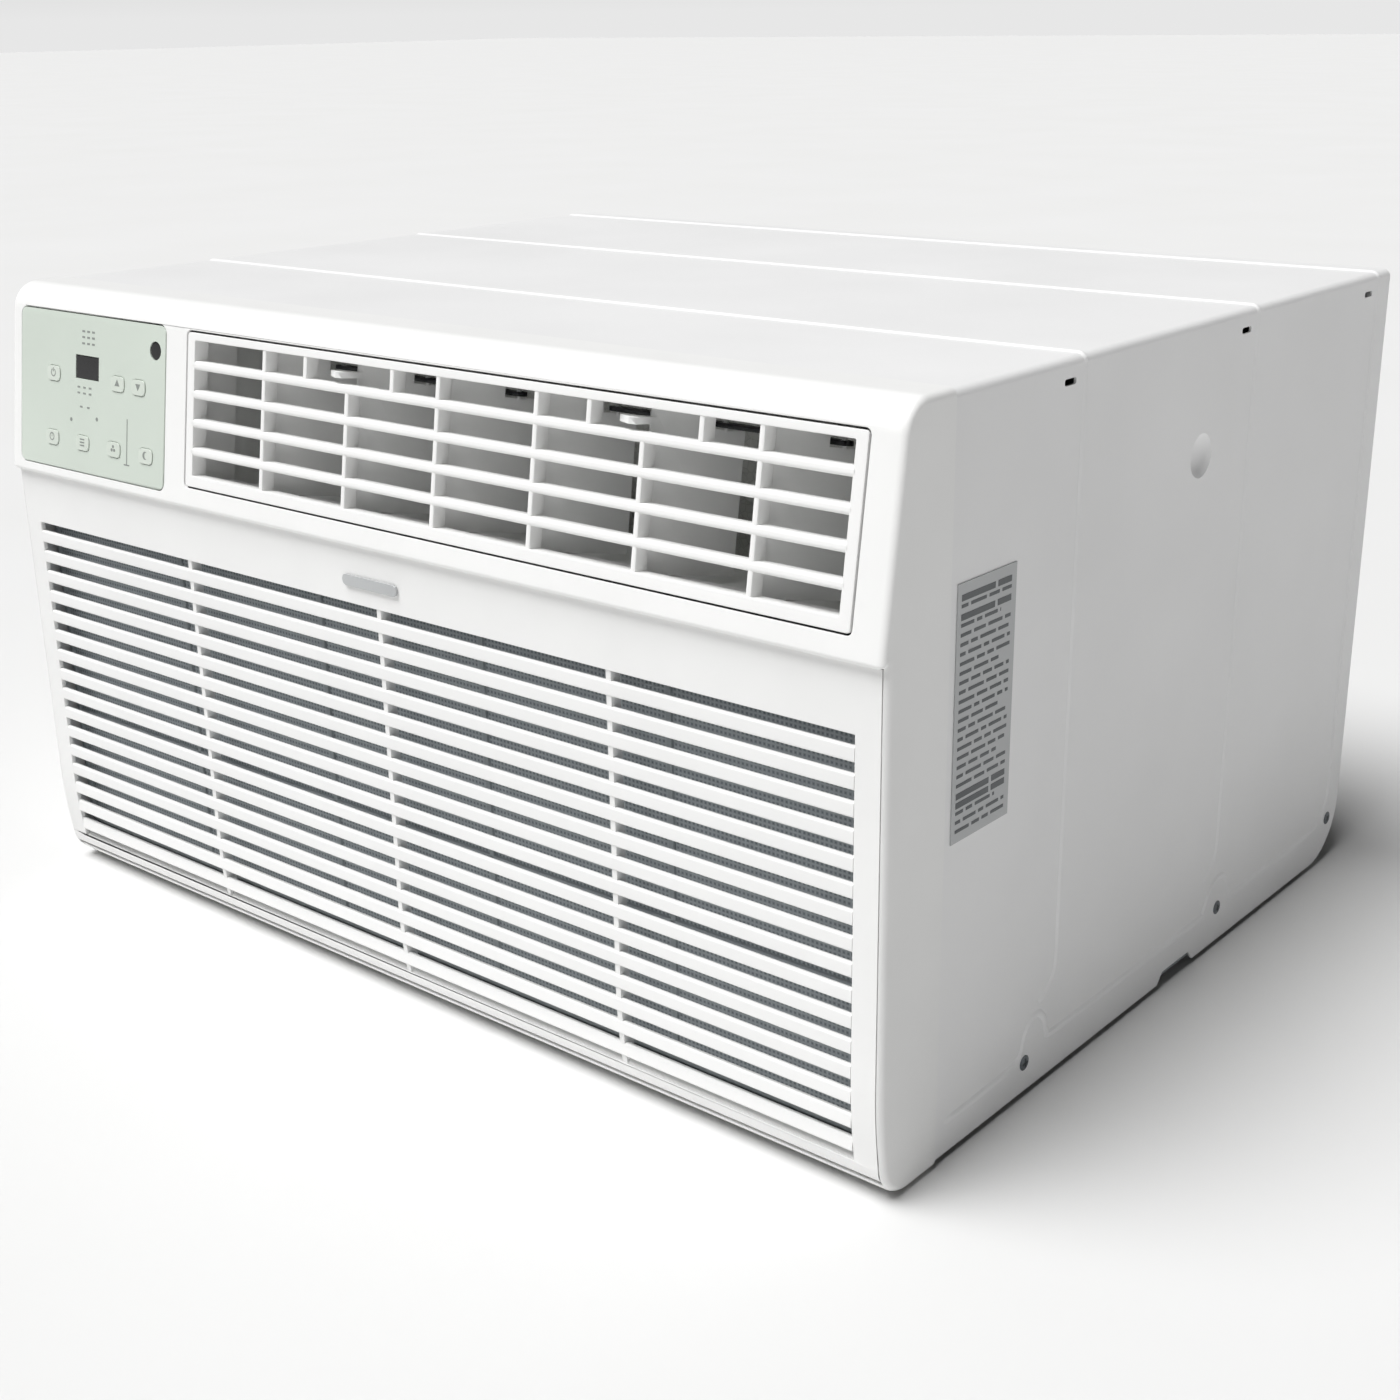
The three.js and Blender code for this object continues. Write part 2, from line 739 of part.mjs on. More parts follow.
const buttonNames = ['timer', 'mode', 'fan', 'sleep', 'power', 'temp_up', 'temp_down'];
const buttonPlaces = [
  ...[0, 1, 2, 3].map((i) => [
    controlLeft + lowerButtonFirst + i * lowerButtonPitch, controlBottom + lowerButtonRise]),
  ...upperButtonFromLeft.map((x) => [controlLeft + x, controlBottom + upperButtonRise]),
];

function controlPlate() {
  const throughPlate = [-past, controlThickness + past];
  const openings = buttonPlaces.map(([x, z]) => sweepY(
    roundedRect(x - buttonWidth / 2, x + buttonWidth / 2,
      z - buttonHeight / 2, z + buttonHeight / 2, buttonRadius),
    throughPlate, 1));
  const display = block([displayX - displayWidth / 2, displayX + displayWidth / 2],
    throughPlate, [displayZ - displayHeight / 2, displayZ + displayHeight / 2]);
  const eye = barY(eyeX, eyeZ, eyeRadius, throughPlate, 16);
  return cut(sweepY(controlOutline(fitGap), [0, controlThickness - restGap], 2),
    display, eye, ...openings);
}

place('control_plate', controlPlate(), materials.controlFilm, upperFace);

place('display_window', block(
  [displayX - displayWidth / 2 + restGap, displayX + displayWidth / 2 - restGap],
  [restGap, controlThickness],
  [displayZ - displayHeight / 2 + restGap, displayZ + displayHeight / 2 - restGap]),
materials.window, upperFace);

place('infrared_window', barY(eyeX, eyeZ, eyeRadius - restGap, [restGap, controlThickness], 16),
  materials.window, upperFace);

buttonPlaces.forEach(([x, z], i) => {
  const cap = sweepY(roundedRect(
    x - buttonWidth / 2 + restGap, x + buttonWidth / 2 - restGap,
    z - buttonHeight / 2 + restGap, z + buttonHeight / 2 - restGap, buttonRadius - restGap),
  [-buttonProud, buttonDepth], 1);
  place(`${buttonNames[i]}_button`, cap, materials.button, upperFace);
});

const boardY = buttonDepth + buttonTravel + boardGap;
place('control_board', block(
  [controlLeft + boardMargin, controlRight - boardMargin], [boardY, boardY + boardThickness],
  [controlBottom + boardMargin, controlBottom + controlHeight - boardTopMargin]), materials.board, upperFace);

// ---------------------------------------------------------------- louvre insert and vanes

const dividers = [];
for (let i = 1; i < columnCount; i++) {
  dividers.push(gridLeft - endColumnTrim + dividerShift + i * columnPitch);
}
const leverDividers = [1, dividers.length - 2];

function louvreInsert() {
  const body = block([insertLeft, insertRight], [0, louvreDepth], [insertBottom, insertTop]);
  const hollow = block([insertLeft + louvreRimWall, insertRight - louvreRimWall],
    [louvreGridDepth, louvreDepth + past], [insertBottom + louvreRimWall, insertTop - louvreRimWall]);
  const openings = [];
  for (let row = 0; row < rowCount; row++) {
    const z = rowMiddle + (row - (rowCount - 1) / 2) * rowPitch;
    const topRow = row === rowCount - 1;
    const walls = topRow ? topRowWalls() : dividers;
    const edges = [gridLeft - dividerWidth / 2, ...walls, gridRight + dividerWidth / 2];
    for (let i = 0; i + 1 < edges.length; i++) {
      openings.push(block([edges[i] + dividerWidth / 2, edges[i + 1] - dividerWidth / 2],
        [-past, louvreGridDepth + past], [z - rowHeight / 2, z + rowHeight / 2]));
    }
  }
  const bearing = louvreRimWall + past;
  const bearings = dividers.flatMap((x) => [
    barZ(x, vanePivotDepth, vanePinRadius + runGap, [insertBottom - past, insertBottom + bearing], 8),
    barZ(x, vanePivotDepth, vanePinRadius + runGap, [insertTop - bearing, insertTop + past], 8),
  ]);
  return cut(body, hollow, ...openings, ...bearings);
}

// in the top row the two lever dividers give way to a lever window between short ribs
function topRowWalls() {
  const walls = [];
  dividers.forEach((x, i) => {
    if (leverDividers.includes(i)) walls.push(x - columnPitch / 2, x + columnPitch / 2);
    else walls.push(x);
  });
  return walls.sort((a, b) => a - b);
}

place('louvre_insert', louvreInsert(), materials.casing, upperFace);

// one vane about its own pivot, before it is turned to its resting angle
function vane(hasLever) {
  const half = vaneThickness / 2;
  const blade = block([-half, half], [-vaneLead, vaneTrail], [vaneBottom, vaneTop]);
  const notch = block([-half - past, half + past], [notchStart, vaneTrail + past],
    [tieZ - tieGap, vaneTop + past]);
  const pins = join(
    barZ(0, 0, vanePinRadius, [insertBottom + restGap, vaneBottom + past], 10),
    barZ(0, 0, vanePinRadius, [vaneTop - past, insertTop - restGap], 10));
  const tiePin = barZ(0, tieReach, tiePinRadius, [tieZ - tieGap - past, tieZ + tieThickness + tieGap], 8);
  const piece = join(cut(blade, notch), pins, tiePin);
  if (!hasLever) return piece;
  const leverZ = rowMiddle + ((rowCount - 1) / 2) * rowPitch - leverDrop;
  const outline = [
    [-half, -vaneLead + leverNeck], [-leverWidth / 2, -leverReach + leverNeck],
    [-leverWidth / 2 + leverChamfer, -leverReach], [leverWidth / 2 - leverChamfer, -leverReach],
    [leverWidth / 2, -leverReach + leverNeck], [half, -vaneLead + leverNeck],
  ];
  return join(piece, sweepZ(outline, [leverZ - leverThickness / 2, leverZ + leverThickness / 2]));
}

const vaneGroups = { left: dividers.slice(0, vanesPerGroup), right: dividers.slice(vanesPerGroup) };
for (const [side, places] of Object.entries(vaneGroups)) {
  places.forEach((x, i) => {
    const mesh = place(`${side}_vane_${i + 1}`, vane(i === 1), materials.casing, upperFace);
    mesh.position.set(x, vanePivotDepth, 0);
    mesh.rotation.z = vaneRest;
  });
  const pinX = -tieReach * Math.sin(vaneRest);
  const pinY = vanePivotDepth + tieReach * Math.cos(vaneRest);
  const first = places[0] + pinX;
  const last = places[places.length - 1] + pinX;
  const bar = sweepZ(roundedRect(first - tieWidth / 2, last + tieWidth / 2,
    pinY - tieWidth / 2, pinY + tieWidth / 2, tieWidth / 2 - sliver), [tieZ, tieZ + tieThickness], 2);
  const holes = places.map((x) => barZ(
    x + pinX, pinY, tiePinRadius + runGap, [tieZ - past, tieZ + tieThickness + past], 10));
  place(`${side}_tie_bar`, cut(bar, ...holes), materials.blackPlastic, upperFace);
}

// ---------------------------------------------------------------- cabinet and base

// outline of the cabinet sheet from one foot over the top to the other, moved outwards
function cabinetLine(offset, foot) {
  const half = cabinetHalf + offset;
  const top = cabinetTop + offset;
  const radius = cabinetCornerRadius + offset;
  return [
    [half, foot],
    ...circlePoints([half - radius, top - radius], radius, 4, 0, Math.PI / 2, false),
    ...circlePoints([radius - half, top - radius], radius, 4, Math.PI / 2, Math.PI, false),
    [-half, foot],
  ];
}

// what the rounded lower rear corner takes away, over a span of x
function rearCornerWaste(x) {
  const y = cabinetRearY - rearCornerRadius;
  const z = cabinetBottom + rearCornerRadius;
  return cut(
    block(x, [y, rearY], [-past, z]),
    barX(y, z, rearCornerRadius, [x[0] - past, x[1] + past], 48),
    block([x[0] - past, x[1] + past], [y - past, y + sliver], [-2 * past, z + past]));
}

const everyX = [-overallWidth, overallWidth];
const screwYs = [...screwsFromFace.map((behind) => faceY + behind), rearY - screwFromRear];
const screwSeats = screwYs.map((y, i) => [y, screwHeights[i]]);
const screwHoles = screwSeats.map(([y, z]) => barX(y, z, screwShankRadius + runGap, everyX, 8));

function cabinetWrapper() {
  const outline = sheetOutline(cabinetLine(0, cabinetBottom), cabinetSheet);
  const sheet = sweepY(outline, [cabinetFrontY, cabinetRearY]);
  const beads = beadPlaces.map((behind) => {
    const bead = sheetOutline(cabinetLine(beadHeight, beadFoot), beadHeight + cabinetSheet / 2);
    return sweepY(bead, [faceY + behind - beadWidth / 2, faceY + behind + beadWidth / 2]);
  });
  const lances = beadPlaces.map((behind) => {
    const y = faceY + behind - lanceLead;
    const z = cabinetTop - lanceDrop;
    return block(everyX, [y - lanceLength / 2, y + lanceLength / 2],
      [z - lanceHeight / 2, z + lanceHeight / 2]);
  });
  const notchY = faceY + notchPlace;
  const notch = sweepX([
    [notchY - notchLength / 2, cabinetBottom - past], [notchY + notchLength / 2, cabinetBottom - past],
    [notchY + notchLength / 2 - notchDepth, cabinetBottom + notchDepth],
    [notchY - notchLength / 2 + notchDepth, cabinetBottom + notchDepth],
  ], everyX);
  return cut(join(sheet, ...beads), ...lances, notch, ...screwHoles, rearCornerWaste(everyX));
}

place('cabinet_wrapper', cabinetWrapper(), materials.steelPaint);

function basePan() {
  const runner = (side) => [
    [side * runnerPlace - runnerWidth / 2 - panFloor, panFloor], [side * runnerPlace - runnerWidth / 2, 0],
    [side * runnerPlace + runnerWidth / 2, 0], [side * runnerPlace + runnerWidth / 2 + panFloor, panFloor],
  ];
  const line = (runners) => [
    [-panHalf, panFloor + panFlange], [-panHalf, panFloor], ...runners,
    [panHalf, panFloor], [panHalf, panFloor + panFlange],
  ];
  const rear = guardY - restGap;
  const runnerStart = panelRearY + runnerLead;
  const pan = join(
    sweepY(sheetOutline(line([]), panSheet), [panFrontY, runnerStart + past]),
    sweepY(sheetOutline(line([...runner(-1), ...runner(1)]), panSheet), [runnerStart, rear]));
  const flangeZ = [panFloor, panFloor + panFlange / 2];
  const frontFlange = block([-panHalf, panHalf], [panFrontY, panFrontY + panSheet], flangeZ);
  const rearFlange = block([-panHalf, panHalf], [rear - panSheet, rear], flangeZ);
  return cut(join(pan, frontFlange, rearFlange), ...screwHoles,
    rearCornerWaste([panHalf - panCornerWidth, panHalf + past]),
    rearCornerWaste([-panHalf - past, panCornerWidth - panHalf]));
}

place('base_pan', basePan(), materials.galvanised);

[-1, 1].forEach((side) => {
  screwSeats.forEach(([y, z], i) => {
    const head = cabinetHalf + restGap / 2;
    const reach = (from, to) => (side > 0 ? [from, to] : [-to, -from]);
    const screw = join(
      barX(y, z, screwHeadRadius, reach(head, head + screwHeadHeight), 14),
      barX(y, z, screwShankRadius, reach(head - screwLength, head + screwHeadHeight / 2), 8));
    place(`${side > 0 ? 'right' : 'left'}_casing_screw_${i + 1}`, screw, materials.steel);
  });
});

place('rating_label', block(
  [cabinetHalf + restGap / 2, cabinetHalf + restGap / 2 + labelThickness],
  [faceY + labelPlace, faceY + labelPlace + labelWidth], [labelBottom, labelBottom + labelHeight]),
materials.label);

function rearGuard() {
  const half = cabinetHalf - guardInset;
  const z = [panFloor + guardInset, cabinetTop - guardInset];
  const outline = roundedRect(-half, half, z[0], z[1], guardRadius);
  const cellWidth = (2 * half - 2 * guardRim + guardBar) / guardColumns;
  const cellHeight = (z[1] - z[0] - 2 * guardRim + guardBar) / guardRows;
  const openings = [];
  for (let column = 0; column < guardColumns; column++) {
    for (let row = 0; row < guardRows; row++) {
      const x0 = -half + guardRim + column * cellWidth;
      const z0 = z[0] + guardRim + row * cellHeight;
      openings.push(block([x0, x0 + cellWidth - guardBar], [guardY - past, rearY + past],
        [z0, z0 + cellHeight - guardBar]));
    }
  }
  const hollow = sweepY(
    roundedRect(-half + guardBar, half - guardBar, z[0] + guardBar, z[1] - guardBar, guardRadius - guardBar),
    [guardY - past, rearY - guardBar], 2);
  return cut(sweepY(outline, [guardY, rearY], 2), hollow, ...openings);
}

place('rear_guard', rearGuard(), materials.steelPaint);

// ---------------------------------------------------------------- coils and tray

// fin pack with its end plates and the return bends that show at both ends
function coil(x, y, z, bendY) {
  const fins = block(x, y, [z[0] + coilPlateRim, z[1] - coilPlateRim]);
  const plates = [x[0], x[1] - coilPlate].map((left) => block([left, left + coilPlate], y, z));
  const bends = [];
  const span = (z[1] - z[0] - 4 * bendRadius) / bendCount;
  for (let i = 0; i < bendCount; i++) {
    const low = z[0] + 2 * bendRadius + (i + 0.5) * span;
    for (const [edge, side] of [[x[0], -1], [x[1], 1]]) {
      const arc = circlePoints([0, 0], bendRadius, 5, -Math.PI / 2, Math.PI / 2, false)
        .map(([out, up]) => [edge + side * out, bendY, low + up]);
      const start = [edge - side, bendY, low - bendRadius];
      const end = [edge - side, bendY, low + bendRadius];
      bends.push(tube([start, ...arc, end], bendTube, 5, 5));
    }
  }
  return join(fins, ...plates, ...bends);
}

const trayZ = panTop + restGap;
const evaporatorX = [-panelInside + evaporatorLeft, panelInside - evaporatorRight];
const evaporatorZ = [trayZ + trayWall + restGap, stepZ - coilTopGap];
place('evaporator_coil', coil(evaporatorX, evaporatorY, evaporatorZ, evaporatorY[0] + bendInset),
  materials.aluminium);

function drainTray() {
  const half = panHalf - panSheet - traySideGap;
  const y = [panFrontY + panSheet + restGap, evaporatorY[1] + restGap + trayWall];
  const z = [trayZ, trayZ + trayHeight];
  return cut(block([-half, half], y, z),
    block([-half + trayWall, half - trayWall], [y[0] + trayWall / 2, y[1] - trayWall],
      [z[0] + trayWall, z[1] + past]));
}

place('drain_tray', drainTray(), materials.foam);

const condenserX = [-panHalf + condenserEnd, panHalf - condenserEnd];
const condenserZ = [panTop + restGap, insideTop - coilTopGap];
const condenserSpan = [condenserY, condenserY + condenserDepth];
place('condenser_coil', coil(condenserX, condenserSpan, condenserZ, condenserSpan[1] - bendInset),
  materials.aluminium);

// ---------------------------------------------------------------- air path

const housingTop = insideTop - housingTopGap;
const ductFloor = stepZ + ductFloorDrop;
const airLeft = louvreLeft - ductWall;
const airRight = louvreRight + ductWall;
const shaftHole = shaftRadius + shaftHoleGap;

// closed outline moved inwards
function insetLoop(points, distance) {
  const count = points.length;
  return points.map((point, i) => {
    const a = edgeNormal(points[(i + count - 1) % count], point);
    const b = edgeNormal(point, points[(i + 1) % count]);
    const scale = distance / (1 + a[0] * b[0] + a[1] * b[1]);
    return [point[0] + (a[0] + b[0]) * scale, point[1] + (a[1] + b[1]) * scale];
  });
}

function housingOutline() {
  const outline = [[airRight, ductFloor], [airRight, housingTop], [airLeft, housingTop], [airLeft, stepZ]];
  for (let i = 0; i <= scrollSteps; i++) {
    const share = i / scrollSteps;
    const turn = THREE.MathUtils.degToRad(scrollFrom + scrollTurn * share);
    const radius = wheelRadius + scrollStart + (scrollEnd - scrollStart) * share;
    outline.push([shaft.x + radius * Math.cos(turn), shaft.y + radius * Math.sin(turn)]);
  }
  return outline;
}

function blowerHousing() {
  const outline = housingOutline();
  const inside = [housingY[0] + housingWall, housingY[1] - housingWall];
  const outlet = block([airLeft + housingWall, airRight - housingWall],
    [housingY[0] - past, inside[0] + past], [ductFloor, housingTop - housingWall]);
  return cut(sweepY(outline, housingY), sweepY(insetLoop(outline, housingWall), inside), outlet,
    barY(shaft.x, shaft.y, wheelInner - inletInset, [housingY[0] - past, inside[0] + past], 32),
    barY(shaft.x, shaft.y, shaftHole, [inside[1] - past, housingY[1] + past]));
}

place('blower_housing', blowerHousing(), materials.foam);

function dischargeDuct() {
  const y = [frontY, housingY[0] - restGap];
  const floor = ductFloor - ductWall;
  const walls = cut(
    block([airLeft, airRight], y, [floor, housingTop]),
    block([louvreLeft, louvreRight], [y[0] - past, y[1] + past], [ductFloor, housingTop - ductWall]));
  const front = tiltedBlock([-halfWidth, halfWidth], [-panelDepth, louvreDepth + restGap],
    [-upperHeight, 2 * upperHeight]);
  return cut(walls, front);
}

place('discharge_duct', dischargeDuct(), materials.innerPlastic);

const pipeHoleX = panHalf - pipeFromSide;
const pipeHoleZ = stepZ - pipeDrop;

function bulkhead() {
  const half = panHalf - panSheet - restGap;
  const y = [bulkheadY, bulkheadY + bulkheadSheet];
  const through = [y[0] - past, y[1] + past];
  return cut(block([-half, half], y, [panTop + restGap, insideTop - fitGap]),
    barY(shaft.x, shaft.y, shaftHole, through),
    barY(pipeHoleX, pipeHoleZ, suctionHoleRadius, through),
    barY(-pipeHoleX, pipeHoleZ, wireHoleRadius, through));
}

place('bulkhead', bulkhead(), materials.galvanised);

const wheelFront = housingY[0] + housingWall + wheelFrontGap;
const wheelY = [wheelFront, wheelFront + wheelDepth];

function blowerWheel() {
  const backPlate = barY(shaft.x, shaft.y, wheelRadius, [wheelY[1] - wheelPlate, wheelY[1]], 36);
  const frontRing = cut(
    barY(shaft.x, shaft.y, wheelRadius, [wheelY[0], wheelY[0] + wheelRing], 36),
    barY(shaft.x, shaft.y, wheelInner, [wheelY[0] - past, wheelY[0] + wheelRing + past], 36));
  const hub = barY(shaft.x, shaft.y, wheelHubRadius, [wheelY[1] - wheelHubLength, wheelY[1]], 20);
  const blades = [];
  for (let i = 0; i < wheelBlades; i++) {
    const start = (2 * Math.PI * i) / wheelBlades;
    const line = [0, 1].map((part) => {
      const radius = wheelInner + wheelBladeInset + (wheelRadius - wheelInner - 2 * wheelBladeInset) * part;
      const turn = start + wheelBladeTurn * part;
      return [shaft.x + radius * Math.cos(turn), shaft.y + radius * Math.sin(turn)];
    });
    blades.push(sweepY(sheetOutline(line, wheelBladeThickness), [wheelY[0] + past, wheelY[1] - past]));
  }
  const bore = barY(shaft.x, shaft.y, shaftRadius + restGap, [wheelY[0] - past, wheelY[1] + past]);
  return cut(join(backPlate, frontRing, hub, ...blades), bore);
}

place('blower_wheel', blowerWheel(), materials.blackPlastic);

// ---------------------------------------------------------------- motor and condenser fan

const fanY = [shroudY - fanLead, shroudY - fanLead + fanDepth];
const motorRear = motorY + motorLength;

place('motor_shaft', barY(
  shaft.x, shaft.y, shaftRadius, [wheelY[0] + shaftInWheel, fanY[1] + shaftPastFan], 20), materials.steel);

function fanMotor() {
  const cap = [
    [0, 0], [shaftRadius + motorNose, 0], [motorRadius - motorShoulder, motorEnd], [motorRadius, motorCap],
  ];
  const profile = [...cap, ...cap.toReversed().map(([radius, y]) => [radius, motorLength - y])];
  const points = profile.map(([r, y]) => new THREE.Vector2(r, y));
  const body = solid(new THREE.LatheGeometry(points, 32).translate(shaft.x, motorY, shaft.y));
  return cut(body, barY(shaft.x, shaft.y, shaftRadius + runGap, [motorY - past, motorRear + past], 20));
}

place('fan_motor', fanMotor(), materials.steel);

function motorBracket() {
  const foot = panTop + restGap;
  const half = motorRadius + bracketFootOut;
  const head = half - bracketTaper;
  const base = block([shaft.x - half, shaft.x + half],
    [motorY + bracketInset, motorRear - bracketInset], [foot, foot + bracketFoot]);
  const uprights = [motorY + uprightInset, motorRear - uprightInset - bracketSheet].map((y) => sweepY([
    [shaft.x - half, foot], [shaft.x + half, foot], [shaft.x + head, shaft.y], [shaft.x - head, shaft.y],
  ], [y, y + bracketSheet]));
  const seat = barY(shaft.x, shaft.y, motorRadius + restGap, [motorY, motorRear], 48);
  return cut(join(base, ...uprights), seat);
}

place('motor_bracket', motorBracket(), materials.galvanised);

// closed slab between two surfaces given as grids of points
function slab(rows, columns, upper, lower) {
  const positions = [];
  const index = [];
  for (const surface of [upper, lower]) {
    for (let i = 0; i <= rows; i++) {
      for (let j = 0; j <= columns; j++) positions.push(...surface(i / rows, j / columns));
    }
  }
  const at = (side, i, j) => side * (rows + 1) * (columns + 1) + i * (columns + 1) + j;
  const quad = (a, b, c, d) => index.push(a, b, c, a, c, d);
  for (let i = 0; i < rows; i++) {
    for (let j = 0; j < columns; j++) {
      quad(at(0, i, j), at(0, i + 1, j), at(0, i + 1, j + 1), at(0, i, j + 1));
      quad(at(1, i, j), at(1, i, j + 1), at(1, i + 1, j + 1), at(1, i + 1, j));
    }
    quad(at(0, i, 0), at(1, i, 0), at(1, i + 1, 0), at(0, i + 1, 0));
    quad(at(0, i, columns), at(0, i + 1, columns), at(1, i + 1, columns), at(1, i, columns));
  }
  for (let j = 0; j < columns; j++) {
    quad(at(0, 0, j), at(0, 0, j + 1), at(1, 0, j + 1), at(1, 0, j));
    quad(at(0, rows, j), at(1, rows, j), at(1, rows, j + 1), at(0, rows, j + 1));
  }
  const geometry = new THREE.BufferGeometry();
  geometry.setAttribute('position', new THREE.Float32BufferAttribute(positions, 3));
  geometry.setIndex(index);
  return geometry;
}

function fanBlade(turn) {
  const middle = (fanY[0] + fanY[1]) / 2;
  const root = fanHubRadius - bladeRoot;
  const surface = (lift) => (along, across) => {
    const radius = root + (fanRadius + bladeTip - root) * along;
    const spread = bladeSpread - bladeNarrowing * along;
    const angle = turn + spread * (2 * across - 1);
    const y = middle + (bladePitch - bladeTwist * along) * fanDepth * (2 * across - 1) + lift;
    return [shaft.x + radius * Math.cos(angle), y, shaft.y + radius * Math.sin(angle)];
  };
  return solid(slab(3, 2, surface(-bladeHalf), surface(bladeHalf)));
}

function condenserFan() {
  const middle = (fanY[0] + fanY[1]) / 2;
  const hub = barY(shaft.x, shaft.y, fanHubRadius, fanY, 24);
  const ringY = [middle - slingerDepth / 2, middle + slingerDepth / 2];
  const ring = cut(barY(shaft.x, shaft.y, fanRadius + slingerWidth, ringY, 36),
    barY(shaft.x, shaft.y, fanRadius, [ringY[0] - past, ringY[1] + past], 36));
  const blades = [];
  for (let i = 0; i < fanBlades; i++) blades.push(fanBlade((2 * Math.PI * i) / fanBlades));
  const bore = barY(shaft.x, shaft.y, shaftRadius + restGap, [fanY[0] - past, fanY[1] + past]);
  return cut(join(hub, ring, ...blades), bore);
}

place('condenser_fan', condenserFan(), materials.blackPlastic);

const shroudPipes = [dischargeHeight, liquidHeight].map((height) => [panHalf - shroudPipeFromSide, height]);

function fanShroud() {
  const half = panHalf - panSheet - shroudGap;
  const z = [panTop + restGap, insideTop - shroudGap];
  const y = [shroudY, condenserY - restGap];
  const shell = cut(block([-half, half], y, z),
    block([-half + shroudSheet, half - shroudSheet], [y[0] + shroudSheet, y[1] + past],
      [z[0] - past, z[1] - shroudSheet]));
  const ring = barY(shaft.x, shaft.y, mouthOuterRadius, [y[0] - shroudLip, y[0] + past], 48);
  const behind = y[0] + shroudSheet + past;
  return cut(join(shell, ring), barY(shaft.x, shaft.y, mouthRadius, [y[0] - shroudLip - past, behind], 48),
    ...shroudPipes.map(([x, height]) => barY(x, height, pipeHoleRadius, [y[0] - past, behind], 12)));
}

place('fan_shroud', fanShroud(), materials.blackPlastic);

// ---------------------------------------------------------------- refrigeration

const canBottom = panTop + 2 * restGap + grommetHeight;
const canTop = canBottom + compressorHeight;
const footTurns = [90, 210, 330].map(THREE.MathUtils.degToRad);
const footPlaces = footTurns.map((turn) => [
  compressorX + compressorFootReach * Math.cos(turn), compressorY + compressorFootReach * Math.sin(turn)]);

function compressor() {
  const can = turned([
    [0, canBottom], [compressorRadius - canBaseIn, canBottom], [compressorRadius, canBottom + canBaseRise],
    [compressorRadius, canTop - canShoulder], [compressorRadius - canDomeIn, canTop - canDomeDrop],
    [canCrownRadius, canTop], [0, canTop],
  ], compressorX, compressorY);
  const feet = footTurns.map((turn) => {
    const length = compressorFootReach + footPastHole;
    const arm = new THREE.BoxGeometry(length, footWidth, footSheet);
    arm.translate(length / 2, 0, canBottom + footSheet / 2);
    return solid(arm.rotateZ(turn).translate(compressorX, compressorY, 0));
  });
  const through = [canBottom - past, canBottom + footSheet + past];
  const holes = footPlaces.map(([x, y]) => barZ(x, y, footHoleRadius, through, 12));
  return cut(join(can, ...feet), ...holes);
}

place('compressor', compressor(), materials.compressorPaint);

footPlaces.forEach(([x, y], i) => {
  const z = [panTop + restGap, canBottom - restGap];
  place(`compressor_grommet_${i + 1}`, cut(
    barZ(x, y, grommetRadius, z, 20),
    barZ(x, y, footHoleRadius, [z[0] - past, z[1] + past], 12)), materials.rubber);
});

place('terminal_cover', sweepZ(roundedRect(
  compressorX - terminalWidth / 2, compressorX + terminalWidth / 2,
  compressorY - terminalDepth / 2, compressorY + terminalDepth / 2, terminalRadius),
[canTop + restGap, canTop + terminalHeight], 1), materials.blackPlastic);

const accumulatorReach = compressorRadius + accumulatorGap + accumulatorRadius;
const accumulatorCentre = [
  compressorX + accumulatorReach * Math.cos(accumulatorTurn),
  compressorY + accumulatorReach * Math.sin(accumulatorTurn)];
const accumulatorZ = [accumulatorFoot, accumulatorFoot + accumulatorHeight];

function accumulator() {
  const [x, y] = accumulatorCentre;
  const [low, high] = accumulatorZ;
  const can = turned([
    [0, low], [accumulatorNeck, low], [accumulatorRadius, low + accumulatorCone],
    [accumulatorRadius, high - accumulatorCone], [accumulatorNeck, high], [0, high],
  ], x, y, 24);
  const towards = [-Math.cos(accumulatorTurn), -Math.sin(accumulatorTurn)];
  const toCan = accumulatorGap + accumulatorRadius - 2 * restGap;
  const level = low - elbowDrop;
  const elbow = tube([
    [x, y, low + past], [x, y, level + elbowRadius],
    [x + elbowRadius * towards[0], y + elbowRadius * towards[1], level],
    [x + toCan * towards[0], y + toCan * towards[1], level],
  ], pipeRadius, 10);
  return join(can, elbow);
}

place('accumulator', accumulator(), materials.compressorPaint);

const evaporatorPipeY = evaporatorY[1] - bendInset;
const coilRight = evaporatorX[1];

place('suction_pipe', tube([
  [...accumulatorCentre, accumulatorZ[1] + restGap],
  [...accumulatorCentre, accumulatorZ[1] + 24],
  [accumulatorCentre[0] + 18, compressorY - compressorRadius - 22, accumulatorZ[1] + 38],
  [compressorX, compressorY - compressorRadius - 30, accumulatorZ[1] + 30],
  [pipeHoleX - 12, compressorY - compressorRadius - 30, pipeHoleZ + 12],
  [pipeHoleX, bulkheadY + 8, pipeHoleZ],
  [pipeHoleX, bulkheadY - 10, pipeHoleZ],
  [pipeHoleX, evaporatorPipeY + 30, pipeHoleZ],
  [pipeHoleX - 3, evaporatorPipeY + 6, pipeHoleZ],
  [coilRight + 10, evaporatorPipeY, pipeHoleZ],
  [coilRight + restGap, evaporatorPipeY, pipeHoleZ],
], pipeRadius, 30), materials.copper);

const condenserRight = condenserX[1];
const condenserPipeY = condenserY + bendInset;
const [dischargeX, dischargeZ] = shroudPipes[0];
const [liquidX, liquidZ] = shroudPipes[1];

